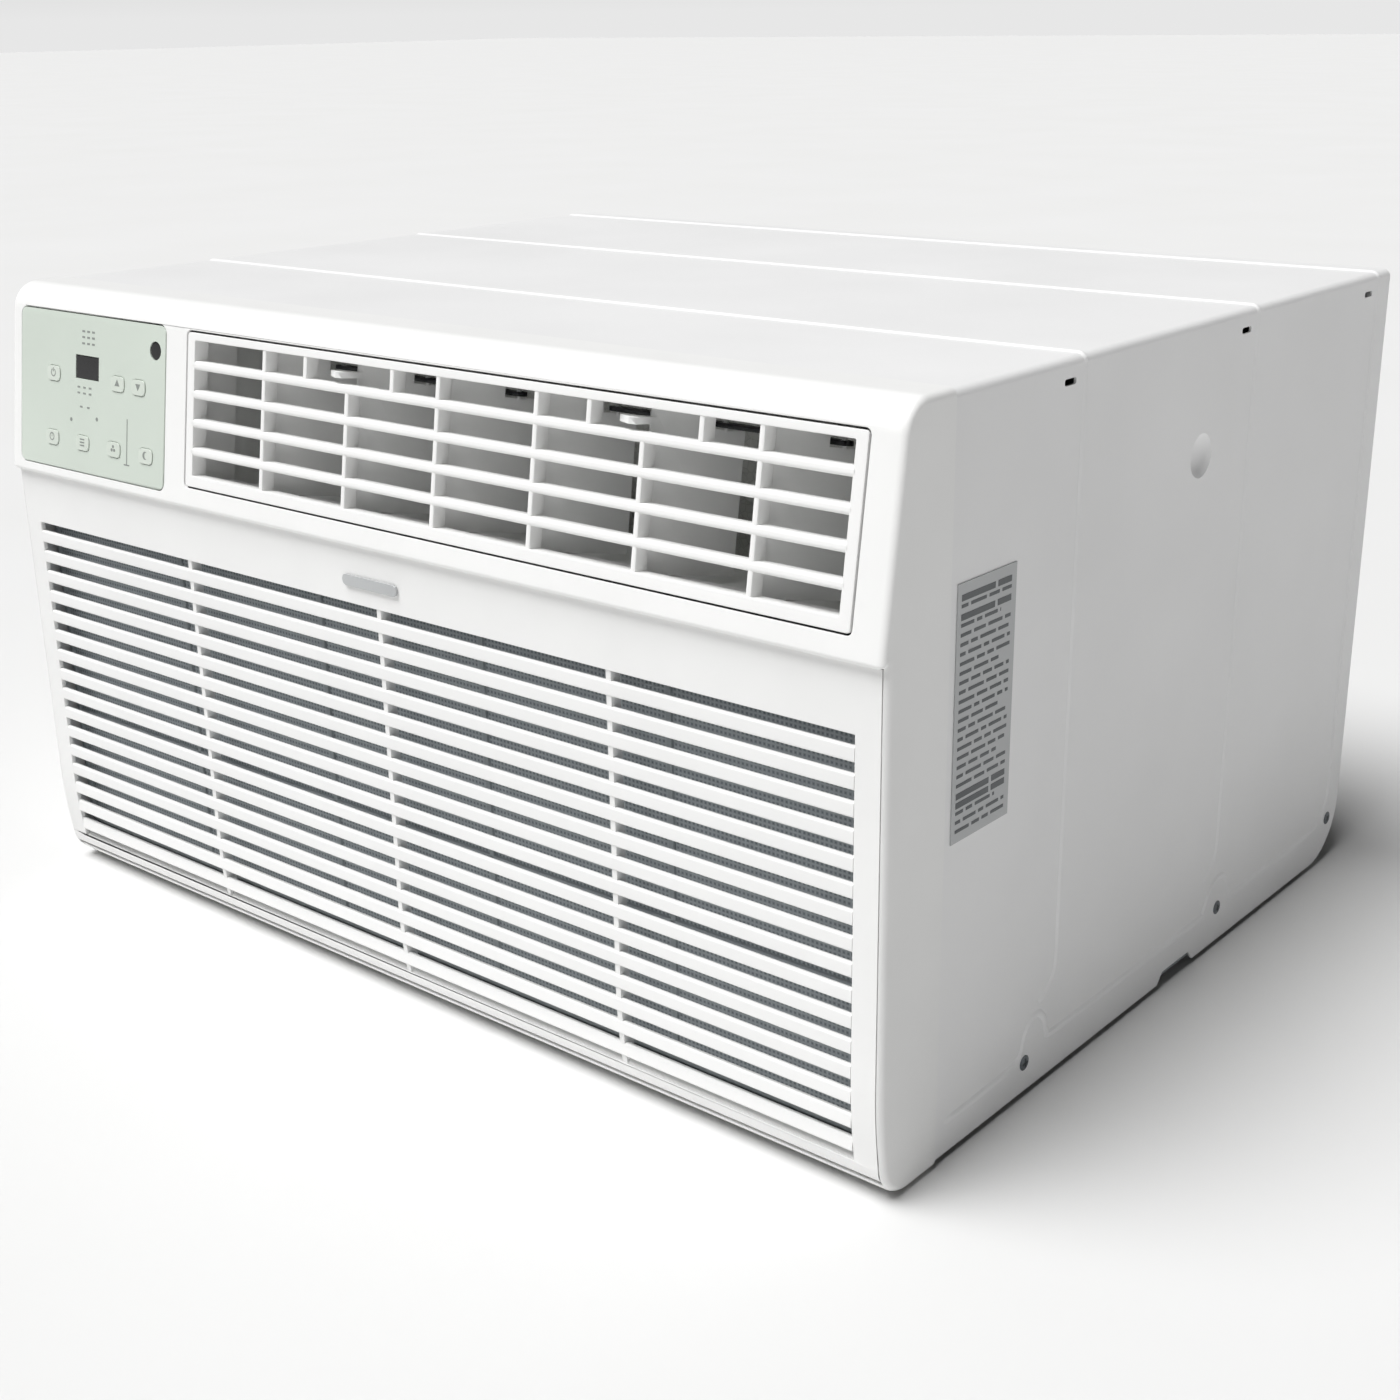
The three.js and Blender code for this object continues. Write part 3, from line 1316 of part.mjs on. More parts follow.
place('discharge_pipe', tube([
  [compressorX + 34, compressorY, canTop - 1],
  [compressorX + 34, compressorY, canTop + 18],
  [compressorX + 50, compressorY + 20, canTop + 36],
  [dischargeX, compressorY + 50, canTop + 20],
  [dischargeX, shroudY - 12, dischargeZ + 6],
  [dischargeX, shroudY + 8, dischargeZ],
  [dischargeX, condenserPipeY - 14, dischargeZ],
  [condenserRight + 6, condenserPipeY, dischargeZ],
  [condenserRight + restGap, condenserPipeY, dischargeZ],
], dischargeRadius, 28), materials.copper);

const drierY = [shroudY - drierFromShroud - drierLength, shroudY - drierFromShroud];

place('liquid_line', tube([
  [condenserRight + restGap, condenserPipeY, liquidZ],
  [condenserRight + 5, condenserPipeY, liquidZ],
  [liquidX, condenserPipeY - 12, liquidZ],
  [liquidX, shroudY + 10, liquidZ],
  [liquidX, drierY[1] + restGap, liquidZ],
], dischargeRadius - 1, 14, 6), materials.copper);

place('filter_drier', join(
  barY(liquidX, liquidZ, drierRadius, [drierY[0] + drierNeckLength, drierY[1] - drierNeckLength], 16),
  barY(liquidX, liquidZ, drierNeckRadius, drierY, 12)), materials.copper);

place('capillary_tube', tube([
  [liquidX, drierY[0] - restGap, liquidZ],
  [liquidX, drierY[0] - 14, liquidZ],
  [liquidX + 2, compressorY - 50, liquidZ + 40],
  [liquidX - 2, bulkheadY + 22, pipeHoleZ - 30],
  [pipeHoleX, bulkheadY + 6, pipeHoleZ - 9],
  [pipeHoleX, bulkheadY - 8, pipeHoleZ - 9],
  [pipeHoleX, evaporatorPipeY + 20, pipeHoleZ - 14],
  [coilRight + 8, evaporatorPipeY, pipeHoleZ - 16],
  [coilRight + restGap, evaporatorPipeY, pipeHoleZ - 16],
], capillaryRadius, 26, 5), materials.copper);

// ---------------------------------------------------------------- control box

const boxX = [-panelInside + boxSideGap, louvreLeft - boxFromLouvre];
const boxY = [frontY + boxPlace, frontY + boxPlace + boxDepth];
const boxZ = [stepZ + boxFloorGap, insideTop - boxTopGap];

function controlBox() {
  const hollow = block([boxX[0] + boxWall, boxX[1] - boxWall], [boxY[0] - past, boxY[1] - boxWall],
    [boxZ[0] + boxWall, boxZ[1] - boxWall]);
  const cableHole = barX(boxY[1] - cableHoleInset, boxZ[0] + cableHoleInset, cableHoleRadius,
    [boxX[1] - boxWall - past, boxX[1] + past]);
  return cut(block(boxX, boxY, boxZ), hollow, cableHole);
}

place('control_box', controlBox(), materials.galvanised);

place('run_capacitor', barZ(
  boxX[0] + capacitorFromSide, boxY[1] - capacitorFromRear, capacitorRadius,
  [boxZ[0] + boxWall + restGap, boxZ[0] + boxWall + restGap + capacitorHeight], 24), materials.aluminium);

export default unit;
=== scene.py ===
"""Through-the-wall room air conditioner: every visible piece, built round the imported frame.

Mesh code below works in millimetres in the object's own frame (front towards -Y, +Z up) and
is turned to metres when a piece is finished.
"""

import math

import bmesh
import bpy
from mathutils import Matrix, Vector


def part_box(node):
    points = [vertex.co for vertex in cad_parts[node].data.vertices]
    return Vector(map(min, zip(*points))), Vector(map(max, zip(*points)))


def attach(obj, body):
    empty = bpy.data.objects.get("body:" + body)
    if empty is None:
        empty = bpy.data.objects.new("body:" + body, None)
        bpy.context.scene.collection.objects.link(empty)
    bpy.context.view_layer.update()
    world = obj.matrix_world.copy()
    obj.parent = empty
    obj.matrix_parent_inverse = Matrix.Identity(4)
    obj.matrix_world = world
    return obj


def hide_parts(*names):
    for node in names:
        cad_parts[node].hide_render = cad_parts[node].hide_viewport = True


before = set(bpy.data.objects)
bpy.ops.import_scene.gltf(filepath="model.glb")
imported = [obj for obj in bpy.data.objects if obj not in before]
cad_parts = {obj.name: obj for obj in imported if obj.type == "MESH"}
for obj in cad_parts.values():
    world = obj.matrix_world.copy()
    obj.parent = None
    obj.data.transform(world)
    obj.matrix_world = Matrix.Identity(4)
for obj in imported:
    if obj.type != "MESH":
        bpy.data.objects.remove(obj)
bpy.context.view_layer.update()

MM = 0.001
SMOOTH_ANGLE = math.radians(32)
PIPE_SMOOTH_ANGLE = math.radians(70)
MERGE_WITHIN = 1e-5
MERGE_COPIES_WITHIN = 1e-4
CUT_PAST = 5
TIP = 0.1


def span(node):
    """Lowest and highest corner of a CAD node, in millimetres."""
    low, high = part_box(node)
    return Vector(low) / MM, Vector(high) / MM


def placed(name, data):
    """A new object in the scene, unturned at the origin."""
    item = bpy.data.objects.new(name, data)
    bpy.context.collection.objects.link(item)
    return item


# ---- camera, light and floor

CAMERA_PLACE = (717.5, -851.2, 495.4)
CAMERA_AZIMUTH = math.radians(40.1)
CAMERA_ELEVATION = math.radians(19.5)
CAMERA_ROLL = math.radians(-0.9)
CAMERA_LENS = 50.08
SENSOR_WIDTH = 36
FLOOR_SIZE = 60
KEY_DIRECTION = (-0.2, -0.36, 0.91)
KEY_STRENGTH = 3.85
KEY_SOFTNESS = math.radians(40)
SKY_STRENGTH = 0.03
HORIZON_STRENGTH = 0.8
HORIZON_HEIGHT = 0.22


def build_camera():
    data = bpy.data.cameras.new("studio_camera")
    data.lens = CAMERA_LENS
    data.sensor_width = SENSOR_WIDTH
    camera = placed("studio_camera", data)
    flat = math.cos(CAMERA_ELEVATION)
    back = Vector((math.sin(CAMERA_AZIMUTH) * flat, -math.cos(CAMERA_AZIMUTH) * flat,
                   math.sin(CAMERA_ELEVATION)))
    right = (-back).cross(Vector((0, 0, 1))).normalized()
    up = right.cross(-back)
    rolled_right = right * math.cos(CAMERA_ROLL) + up * math.sin(CAMERA_ROLL)
    rolled_up = up * math.cos(CAMERA_ROLL) - right * math.sin(CAMERA_ROLL)
    turn = Matrix((rolled_right, rolled_up, back)).transposed().to_4x4()
    camera.matrix_world = Matrix.Translation(Vector(CAMERA_PLACE) * MM) @ turn
    bpy.context.scene.camera = camera


def build_light():
    scene = bpy.context.scene
    scene.view_settings.view_transform = "Standard"
    world = bpy.data.worlds.new("studio_sky")
    world.use_nodes = True
    tree = world.node_tree
    direction = add_node(tree, "ShaderNodeTexCoord").outputs["Generated"]
    rise = add_node(tree, "ShaderNodeSeparateXYZ", None, {"Vector": direction}).outputs["Z"]
    glow = add_node(tree, "ShaderNodeMapRange", None, {
        "Value": rise, "From Max": HORIZON_HEIGHT, "To Min": HORIZON_STRENGTH, "To Max": SKY_STRENGTH})
    backdrop = tree.nodes["Background"]
    backdrop.inputs["Color"].default_value = (1, 1, 1, 1)
    tree.links.new(glow.outputs["Result"], backdrop.inputs["Strength"])
    scene.world = world
    key = bpy.data.lights.new("soft_key", "SUN")
    key.energy = KEY_STRENGTH
    key.angle = KEY_SOFTNESS
    lamp = placed("soft_key", key)
    lamp.rotation_euler = Vector(KEY_DIRECTION).to_track_quat("Z", "Y").to_euler()


# ---- materials

NOISE_SPAN = (0.3, 0.7)
MOULDED_SPREAD = (-0.05, 0.07)
COAT_SPREAD = (-0.04, 0.06)
METAL_SPREAD = (-0.08, 0.1)
SPANGLE_GLOSS = (0.36, 0.52)
WAVE_PER_PITCH = math.pi / 10


def linear(hex_colour):
    """An sRGB hex colour as linear RGBA."""
    parts = [int(hex_colour[i:i + 2], 16) / 255 for i in (1, 3, 5)]
    return [c / 12.92 if c <= 0.04045 else ((c + 0.055) / 1.055) ** 2.4 for c in parts] + [1.0]


def add_node(tree, kind, settings=None, links=None):
    """A node with its settings and its inputs, each a value or another node's output."""
    node = tree.nodes.new(kind)
    for name, value in (settings or {}).items():
        setattr(node, name, value)
    for name, value in (links or {}).items():
        if isinstance(value, bpy.types.NodeSocket):
            tree.links.new(value, node.inputs[name])
        else:
            node.inputs[name].default_value = value
    return node


def new_material(name):
    material = bpy.data.materials.new(name)
    material.use_nodes = True
    tree = material.node_tree
    shader = tree.nodes["Principled BSDF"]
    place = add_node(tree, "ShaderNodeTexCoord").outputs["Object"]
    return material, tree, shader, place


def noise_at(tree, place, size_mm, detail=2.0, roughness=0.5, stretch=(1, 1, 1)):
    """Noise whose features are about size_mm across, drawn out along an axis where stretch says."""
    if stretch:
        mapping = add_node(tree, "ShaderNodeMapping", None, {"Vector": place, "Scale": stretch})
        place = mapping.outputs["Vector"]
    return add_node(tree, "ShaderNodeTexNoise", None, {
        "Vector": place, "Scale": 1 / (size_mm * MM), "Detail": detail, "Roughness": roughness,
    }).outputs["Fac"]


def between(tree, noise, low, high):
    """Noise, whose values lie mostly within NOISE_SPAN, carried over to the span from low to high."""
    return add_node(tree, "ShaderNodeMapRange", None, {
        "Value": noise, "From Min": NOISE_SPAN[0], "From Max": NOISE_SPAN[1], "To Min": low, "To Max": high,
    }).outputs["Result"]


def paint(tree, shader, tone, first, second):
    """Base colour between two sRGB colours, by a tone from 0 to 1."""
    ramp = add_node(tree, "ShaderNodeValToRGB", None, {"Fac": tone})
    ramp.color_ramp.elements[0].color = linear(first)
    ramp.color_ramp.elements[1].color = linear(second)
    tree.links.new(ramp.outputs["Color"], shader.inputs["Base Color"])


def vary_gloss(tree, shader, noise, roughness, spread):
    """Roughness that noise moves about its usual value."""
    value = between(tree, noise, roughness + spread[0], roughness + spread[1])
    tree.links.new(value, shader.inputs["Roughness"])


def bump(tree, shader, height, depth_mm, strength):
    node = add_node(tree, "ShaderNodeBump", None, {
        "Height": height, "Distance": depth_mm * MM, "Strength": strength})
    tree.links.new(node.outputs["Normal"], shader.inputs["Normal"])


def moulded(name, first, second, roughness, grain_mm=0.9, depth_mm=0.02, ior=1.5):
    """Injection-moulded plastic: an even tone with a faint flow mottle and a fine spark-eroded grain."""
    material, tree, shader, place = new_material(name)
    mottle = noise_at(tree, place, size_mm=60, detail=3)
    grain = noise_at(tree, place, grain_mm)
    paint(tree, shader, between(tree, mottle, 0, 1), first, second)
    vary_gloss(tree, shader, grain, roughness, MOULDED_SPREAD)
    shader.inputs["IOR"].default_value = ior
    bump(tree, shader, grain, depth_mm, strength=0.5)
    return material


def powder_coat(name, first, second, roughness):
    """Baked powder coat on sheet steel: a low, soft orange-peel ripple 2 mm across."""
    material, tree, shader, place = new_material(name)
    peel = noise_at(tree, place, size_mm=2.2, roughness=0.45)
    cloud = noise_at(tree, place, size_mm=110)
    paint(tree, shader, between(tree, cloud, 0, 1), first, second)
    vary_gloss(tree, shader, peel, roughness, COAT_SPREAD)
    shader.inputs["IOR"].default_value = 1.52
    bump(tree, shader, peel, depth_mm=0.03, strength=0.4)
    return material


def zinc_coated(name, spangle_mm=9):
    """Hot-dip galvanised sheet: grey spangles, each with its own gloss."""
    material, tree, shader, place = new_material(name)
    spangle = add_node(tree, "ShaderNodeTexVoronoi", {"feature": "F1"}, {
        "Vector": place, "Scale": 1 / (spangle_mm * MM)})
    tone = add_node(tree, "ShaderNodeSeparateColor", None, {"Color": spangle.outputs["Color"]}).outputs["Red"]
    paint(tree, shader, tone, "#9ea2a5", "#b6babd")
    vary_gloss(tree, shader, tone, 0, SPANGLE_GLOSS)
    shader.inputs["Metallic"].default_value = 0.9
    bump(tree, shader, noise_at(tree, place, size_mm=1.2), depth_mm=0.01, strength=0.3)
    return material


def drawn_metal(name, first, second, roughness, stretch=(1, 1, 0.04), metallic=1.0):
    """Drawn or rolled bare metal: fine streaks along the working direction."""
    material, tree, shader, place = new_material(name)
    streak = noise_at(tree, place, size_mm=0.6, detail=3, roughness=0.6, stretch=stretch)
    paint(tree, shader, between(tree, streak, 0, 1), first, second)
    vary_gloss(tree, shader, streak, roughness, METAL_SPREAD)
    shader.inputs["Metallic"].default_value = metallic
    bump(tree, shader, streak, depth_mm=0.01, strength=0.25)
    return material


def expanded_foam(name, bead_mm=4):
    """Moulded polystyrene beads, pressed flat against the tool."""
    material, tree, shader, place = new_material(name)
    bead = add_node(tree, "ShaderNodeTexVoronoi", {"feature": "DISTANCE_TO_EDGE"}, {
        "Vector": place, "Scale": 1 / (bead_mm * MM)})
    edge = add_node(tree, "ShaderNodeMapRange", None, {
        "Value": bead.outputs["Distance"], "From Max": 0.08}).outputs["Result"]
    paint(tree, shader, edge, "#dfe0dc", "#f2f3ef")
    shader.inputs["Roughness"].default_value = 0.9
    bump(tree, shader, edge, depth_mm=0.25, strength=0.6)
    return material


def woven_net(name, pitch_mm=2.4):
    """Filter net of nylon monofilament, its threads far enough apart to show."""
    material, tree, shader, place = new_material(name)
    waves = [add_node(tree, "ShaderNodeTexWave", {"bands_direction": axis, "wave_profile": "SIN"}, {
        "Vector": place, "Scale": WAVE_PER_PITCH / (pitch_mm * MM), "Distortion": 0.0,
    }).outputs["Fac"] for axis in ("X", "Z")]
    weave = add_node(tree, "ShaderNodeMath", {"operation": "MAXIMUM"}, {0: waves[0], 1: waves[1]}).outputs[0]
    paint(tree, shader, weave, "#7e868b", "#b9bfc3")
    shader.inputs["Roughness"].default_value = 0.75
    bump(tree, shader, weave, depth_mm=0.3, strength=0.8)
    return material


def film_over_print(name, first, second):
    """Screen-printed plastic film with a satin face."""
    material, tree, shader, place = new_material(name)
    tone = noise_at(tree, place, size_mm=70, detail=1)
    fine = noise_at(tree, place, size_mm=0.5)
    paint(tree, shader, between(tree, tone, 0, 1), first, second)
    shader.inputs["Roughness"].default_value = 0.38
    shader.inputs["IOR"].default_value = 1.58
    bump(tree, shader, fine, depth_mm=0.006, strength=0.3)
    return material


def circuit_laminate(name, track_mm=8):
    """Glass-fibre laminate under green solder mask, with the copper tracks just showing."""
    material, tree, shader, place = new_material(name)
    track = add_node(tree, "ShaderNodeTexBrick", None, {
        "Vector": place, "Scale": 1 / (track_mm * MM), "Mortar Size": 0.03}).outputs["Fac"]
    paint(tree, shader, track, "#1f5a34", "#3c8a52")
    shader.inputs["Roughness"].default_value = 0.35
    bump(tree, shader, track, depth_mm=0.05, strength=0.5)
    return material


def pale_floor(name):
    """Matt white seamless paper, with a faint fibre mottle."""
    material, tree, shader, place = new_material(name)
    paint(tree, shader, noise_at(tree, place, size_mm=400), "#e0e0df", "#e4e4e4")
    shader.inputs["Roughness"].default_value = 0.95
    shader.inputs["Specular IOR Level"].default_value = 0.1
    return material


casing_abs = moulded("white_abs", "#f3f3f2", "#f6f6f5", roughness=0.4)
inner_abs = moulded("duct_polystyrene", "#eeefed", "#f2f3f1", roughness=0.5)
vane_abs = moulded("vane_polypropylene", "#f3f4f3", "#f6f6f5", roughness=0.45)
black_abs = moulded("black_glass_filled_nylon", "#17181a", "#202124",
                    roughness=0.55, grain_mm=1.2, depth_mm=0.04)
button_abs = moulded("button_abs", "#d2dad0", "#d6ddd4", roughness=0.4, grain_mm=0.6, depth_mm=0.01)
badge_abs = moulded("satin_grey_badge", "#b4b6b7", "#bfc1c2", roughness=0.32, grain_mm=0.5, depth_mm=0.01)
smoked_window = moulded("smoked_acrylic", "#050506", "#08080a",
                        roughness=0.12, grain_mm=3.0, depth_mm=0.002, ior=1.49)
printed_ink = moulded("grey_screen_ink", "#878c88", "#949994", roughness=0.6, grain_mm=0.4, depth_mm=0.004)
label_ink = moulded("grey_label_ink", "#55585a", "#696c6e", roughness=0.6, grain_mm=0.6, depth_mm=0.004)
label_film = film_over_print("grey_polyester_label", "#b4b6b7", "#bbbdbe")
overlay = film_over_print("polycarbonate_overlay", "#cdd6cc", "#d2dbd1")
cabinet_coat = powder_coat("white_powder_coat", "#efefef", "#f4f4f4", roughness=0.42)
compressor_coat = powder_coat("black_enamel", "#111214", "#1a1b1e", roughness=0.38)
zinc_sheet = zinc_coated("galvanised_steel")
fin_foil = drawn_metal("coated_fin_foil", "#c4cacd", "#d3d8da", roughness=0.45, metallic=0.4)
copper_tube = drawn_metal("drawn_copper", "#b06a44", "#c8835c", roughness=0.34, stretch=(1, 1, 1))
plated_steel = drawn_metal("zinc_plated_steel", "#83878a", "#9a9ea1", roughness=0.36, stretch=(1, 1, 1))
can_aluminium = drawn_metal("drawn_aluminium_can", "#b5b8ba", "#c6c9cb", roughness=0.3)
screw_zinc = drawn_metal("dark_zinc_screw", "#5f6366", "#74787b", roughness=0.4, stretch=(1, 1, 1))
grommet_rubber = moulded("nitrile_rubber", "#161616", "#1e1e1e",
                         roughness=0.85, grain_mm=1.0, depth_mm=0.03)
scroll_foam = expanded_foam("expanded_polystyrene")
filter_net = woven_net("nylon_filter_net")
filter_frame_pp = moulded("grey_polypropylene", "#a4aaae", "#adb3b6", roughness=0.55)
board_laminate = circuit_laminate("circuit_laminate")
studio_paper = pale_floor("seamless_paper")


# ---- mesh helpers

def finish_piece(name, mesh, material, body, nodes=(), smooth=SMOOTH_ANGLE):
    """Turns a mesh in millimetres to a finished piece on its body."""
    mesh.transform(Matrix.Scale(MM, 4))
    mesh.materials.clear()
    mesh.materials.append(material)
    mesh.polygons.foreach_set("use_smooth", [True] * len(mesh.polygons))
    mesh.set_sharp_from_angle(angle=smooth)
    mesh = with_modifier(mesh, "WEIGHTED_NORMAL", {"keep_sharp": True, "weight": 90})
    mesh.name = name
    piece = placed(name, mesh)
    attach(piece, body)
    if nodes:
        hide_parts(*nodes)


def mesh_from(points, faces):
    mesh = bpy.data.meshes.new("raw")
    mesh.from_pydata([tuple(p) for p in points], [], faces)
    mesh.update()
    return mesh


def outward(mesh):
    """Merges doubles and turns every face of a closed mesh outwards."""
    bm = bmesh.new()
    bm.from_mesh(mesh)
    bmesh.ops.remove_doubles(bm, verts=bm.verts, dist=MERGE_WITHIN)
    bmesh.ops.recalc_face_normals(bm, faces=bm.faces)
    bm.to_mesh(mesh)
    bm.free()
    return mesh


def joined(meshes):
    bm = bmesh.new()
    for mesh in meshes:
        bm.from_mesh(mesh)
    result = bpy.data.meshes.new("raw")
    bm.to_mesh(result)
    bm.free()
    return result


def box_mesh(x, y, z):
    points = [(x[i & 1], y[(i >> 1) & 1], z[(i >> 2) & 1]) for i in range(8)]
    faces = [(0, 2, 3, 1), (4, 5, 7, 6), (0, 1, 5, 4), (2, 6, 7, 3), (0, 4, 6, 2), (1, 3, 7, 5)]
    return mesh_from(points, faces)


def loft(rings, looped=False):
    """Closed solid through rings of equal count, with flat ends or, where looped, its ends joined."""
    count, last = len(rings[0]), len(rings) - 1
    points = [p for ring in rings for p in ring]
    faces = [] if looped else [tuple(range(count)), tuple(range(last * count, (last + 1) * count))]
    for k in range(last + 1 if looped else last):
        here, after = k * count, (k + 1) % len(rings) * count
        for i in range(count):
            j = (i + 1) % count
            faces.append((here + i, here + j, after + j, after + i))
    return outward(mesh_from(points, faces))


def arc(centre, radius, start, end, steps):
    """Points of an arc in a plane; angles in degrees."""
    turns = [math.radians(start + (end - start) * i / steps) for i in range(steps + 1)]
    return [(centre[0] + radius * math.cos(t), centre[1] + radius * math.sin(t)) for t in turns]


def rounded_rectangle(left, right, bottom, top, radius, steps=6):
    corners = [(right - radius, bottom + radius, -90), (right - radius, top - radius, 0),
               (left + radius, top - radius, 90), (left + radius, bottom + radius, 180)]
    return [p for x, z, start in corners for p in arc((x, z), radius, start, start + 90, steps)]


def inset_rectangle(low, high, inset, radius):
    """A node's outline from the front, drawn in by an inset."""
    return rounded_rectangle(low.x + inset, high.x - inset, low.z + inset, high.z - inset, radius)


def about(middle, width):
    return (middle - width / 2, middle + width / 2)


def prism_y(outline, y):
    """Outline in (x, z), swept from y[0] to y[1]."""
    return loft([[(u, depth, v) for u, v in outline] for depth in y])


def prism_x(outline, x):
    """Outline in (y, z), swept from x[0] to x[1]."""
    return loft([[(along, u, v) for u, v in outline] for along in x])


def with_modifier(mesh, kind, settings):
    """The mesh after one modifier, as a plain mesh."""
    holder = placed("holder", mesh)
    modifier = holder.modifiers.new("step", kind)
    for name, value in settings.items():
        setattr(modifier, name, value)
    graph = bpy.context.evaluated_depsgraph_get()
    result = bpy.data.meshes.new_from_object(holder.evaluated_get(graph))
    bpy.data.objects.remove(holder)
    return result


def cut_away(mesh, cutters):
    """The mesh less the cutters, by one exact difference."""
    tool = placed("tool", joined(cutters))
    result = with_modifier(mesh, "BOOLEAN", {
        "object": tool, "operation": "DIFFERENCE", "solver": "EXACT", "use_self": True})
    bpy.data.objects.remove(tool)
    return result


def broken_edges(mesh, width, chosen=None):
    """The mesh with its sharp edges rounded; chosen, where given, tells which points may move."""
    bm = bmesh.new()
    bm.from_mesh(mesh)
    bmesh.ops.remove_doubles(bm, verts=bm.verts, dist=MERGE_COPIES_WITHIN)
    sharp = [e for e in bm.edges if len(e.link_faces) == 2 and e.calc_face_angle(0) > SMOOTH_ANGLE]
    if chosen:
        sharp = [e for e in sharp if all(chosen(v.co) for v in e.verts)]
    bmesh.ops.bevel(bm, geom=sharp, offset=width, segments=2, profile=0.5, affect="EDGES", clamp_overlap=True)
    bm.to_mesh(mesh)
    bm.free()
    return mesh


def eased_box(x, y, z, width):
    return broken_edges(box_mesh(x, y, z), width)


def split_bars(x, z, columns, rows, width, y, past, ease):
    """Bars that split a field into even columns and rows, each running on past the field."""
    bars = []
    for i in range(1, columns):
        middle = x[0] + (x[1] - x[0]) * i / columns
        bars.append(eased_box(about(middle, width), y, (z[0] - past, z[1] + past), ease))
    for i in range(1, rows):
        middle = z[0] + (z[1] - z[0]) * i / rows
        bars.append(eased_box((x[0] - past, x[1] + past), y, about(middle, width), ease))
    return bars


def ring_prism(outer, inner, y):
    """A frame between two outlines of equal count in (x, z), from y[0] to y[1]."""
    count = len(outer)
    points = [(u, depth, v) for depth in y for outline in (outer, inner) for u, v in outline]
    faces = []
    for i in range(count):
        j = (i + 1) % count
        for a, b in ((0, count), (count, 3 * count), (3 * count, 2 * count), (2 * count, 0)):
            faces.append((a + i, a + j, b + j, b + i))
    return outward(mesh_from(points, faces))


def from_node(node):
    """A merged copy of a CAD node's mesh, in millimetres."""
    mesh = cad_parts[node].data.copy()
    mesh.transform(Matrix.Scale(1 / MM, 4))
    bm = bmesh.new()
    bm.from_mesh(mesh)
    bmesh.ops.remove_doubles(bm, verts=bm.verts, dist=MERGE_COPIES_WITHIN)
    bm.to_mesh(mesh)
    bm.free()
    return mesh


def eased_copy(node, name, material, body, slot, width):
    """A CAD node's own shape with its edges eased, standing for that node."""
    mesh = from_node(node)
    if width:
        mesh = broken_edges(mesh, width)
    smooth = PIPE_SMOOTH_ANGLE if slot == "copper_pipe" else SMOOTH_ANGLE
    finish_piece(name, mesh, material, body, (node,), smooth)


def named_tree(name, inputs):
    """A Geometry Nodes tree with named inputs; gives the tree and its input and output nodes."""
    tree = bpy.data.node_groups.new(name, "GeometryNodeTree")
    tree.interface.new_socket("Geometry", in_out="INPUT", socket_type="NodeSocketGeometry")
    for label, kind in inputs:
        tree.interface.new_socket(label, in_out="INPUT", socket_type=kind)
    tree.interface.new_socket("Geometry", in_out="OUTPUT", socket_type="NodeSocketGeometry")
    return tree, tree.nodes.new("NodeGroupInput"), tree.nodes.new("NodeGroupOutput")


def build_row_tree():
    """Repeats the unit shape along a straight line."""
    tree, given, out = named_tree("repeat_in_a_row", [
        ("Count", "NodeSocketInt"), ("Step", "NodeSocketVector"), ("Material", "NodeSocketMaterial")])
    line = add_node(tree, "GeometryNodeMeshLine", {"mode": "OFFSET"}, {
        "Count": given.outputs["Count"], "Offset": given.outputs["Step"]})
    copies = add_node(tree, "GeometryNodeInstanceOnPoints", None, {
        "Points": line.outputs["Mesh"], "Instance": given.outputs["Geometry"]})
    return close_tree(tree, given, out, copies)


def build_stamp_tree():
    """Sets the stamp object on every point, turned about X by the point's lean."""
    tree, given, out = named_tree("stamp_on_points", [
        ("Stamp", "NodeSocketObject"), ("Material", "NodeSocketMaterial")])
    stamp = add_node(tree, "GeometryNodeObjectInfo", None, {"Object": given.outputs["Stamp"]})
    lean = add_node(tree, "GeometryNodeInputNamedAttribute", {"data_type": "FLOAT"}, {"Name": "lean"})
    turn = add_node(tree, "ShaderNodeCombineXYZ", None, {"X": lean.outputs["Attribute"]})
    copies = add_node(tree, "GeometryNodeInstanceOnPoints", None, {
        "Points": given.outputs["Geometry"], "Instance": stamp.outputs["Geometry"],
        "Rotation": turn.outputs["Vector"]})
    return close_tree(tree, given, out, copies)


def close_tree(tree, given, out, copies):
    real = add_node(tree, "GeometryNodeRealizeInstances", None, {"Geometry": copies.outputs["Instances"]})
    painted = add_node(tree, "GeometryNodeSetMaterial", None, {
        "Geometry": real.outputs["Geometry"], "Material": given.outputs["Material"]})
    tree.links.new(painted.outputs["Geometry"], out.inputs["Geometry"])
    return tree


def grown(mesh, tree, values):
    """The mesh that a Geometry Nodes tree makes of this one."""
    holder = placed("holder", mesh)
    modifier = holder.modifiers.new("grow", "NODES")
    modifier.node_group = tree
    for item in tree.interface.items_tree:
        if item.in_out == "INPUT" and item.name in values:
            modifier[item.identifier] = values[item.name]
    result = bpy.data.meshes.new_from_object(holder.evaluated_get(bpy.context.evaluated_depsgraph_get()))
    bpy.data.objects.remove(holder)
    return result


def in_a_row(unit, count, step, material):
    return grown(unit, ROW_TREE, {"Count": count, "Step": step, "Material": material})


def stamped(unit, places, leans, material):
    """Copies of the unit at the places, each turned about X by its lean."""
    stamp = placed("stamp", unit)
    points = bpy.data.meshes.new("points")
    points.from_pydata([tuple(p) for p in places], [], [])
    points.attributes.new("lean", "FLOAT", "POINT").data.foreach_set("value", leans)
    result = grown(points, STAMP_TREE, {"Stamp": stamp, "Material": material})
    bpy.data.objects.remove(stamp)
    return result


ROW_TREE = build_row_tree()
STAMP_TREE = build_stamp_tree()


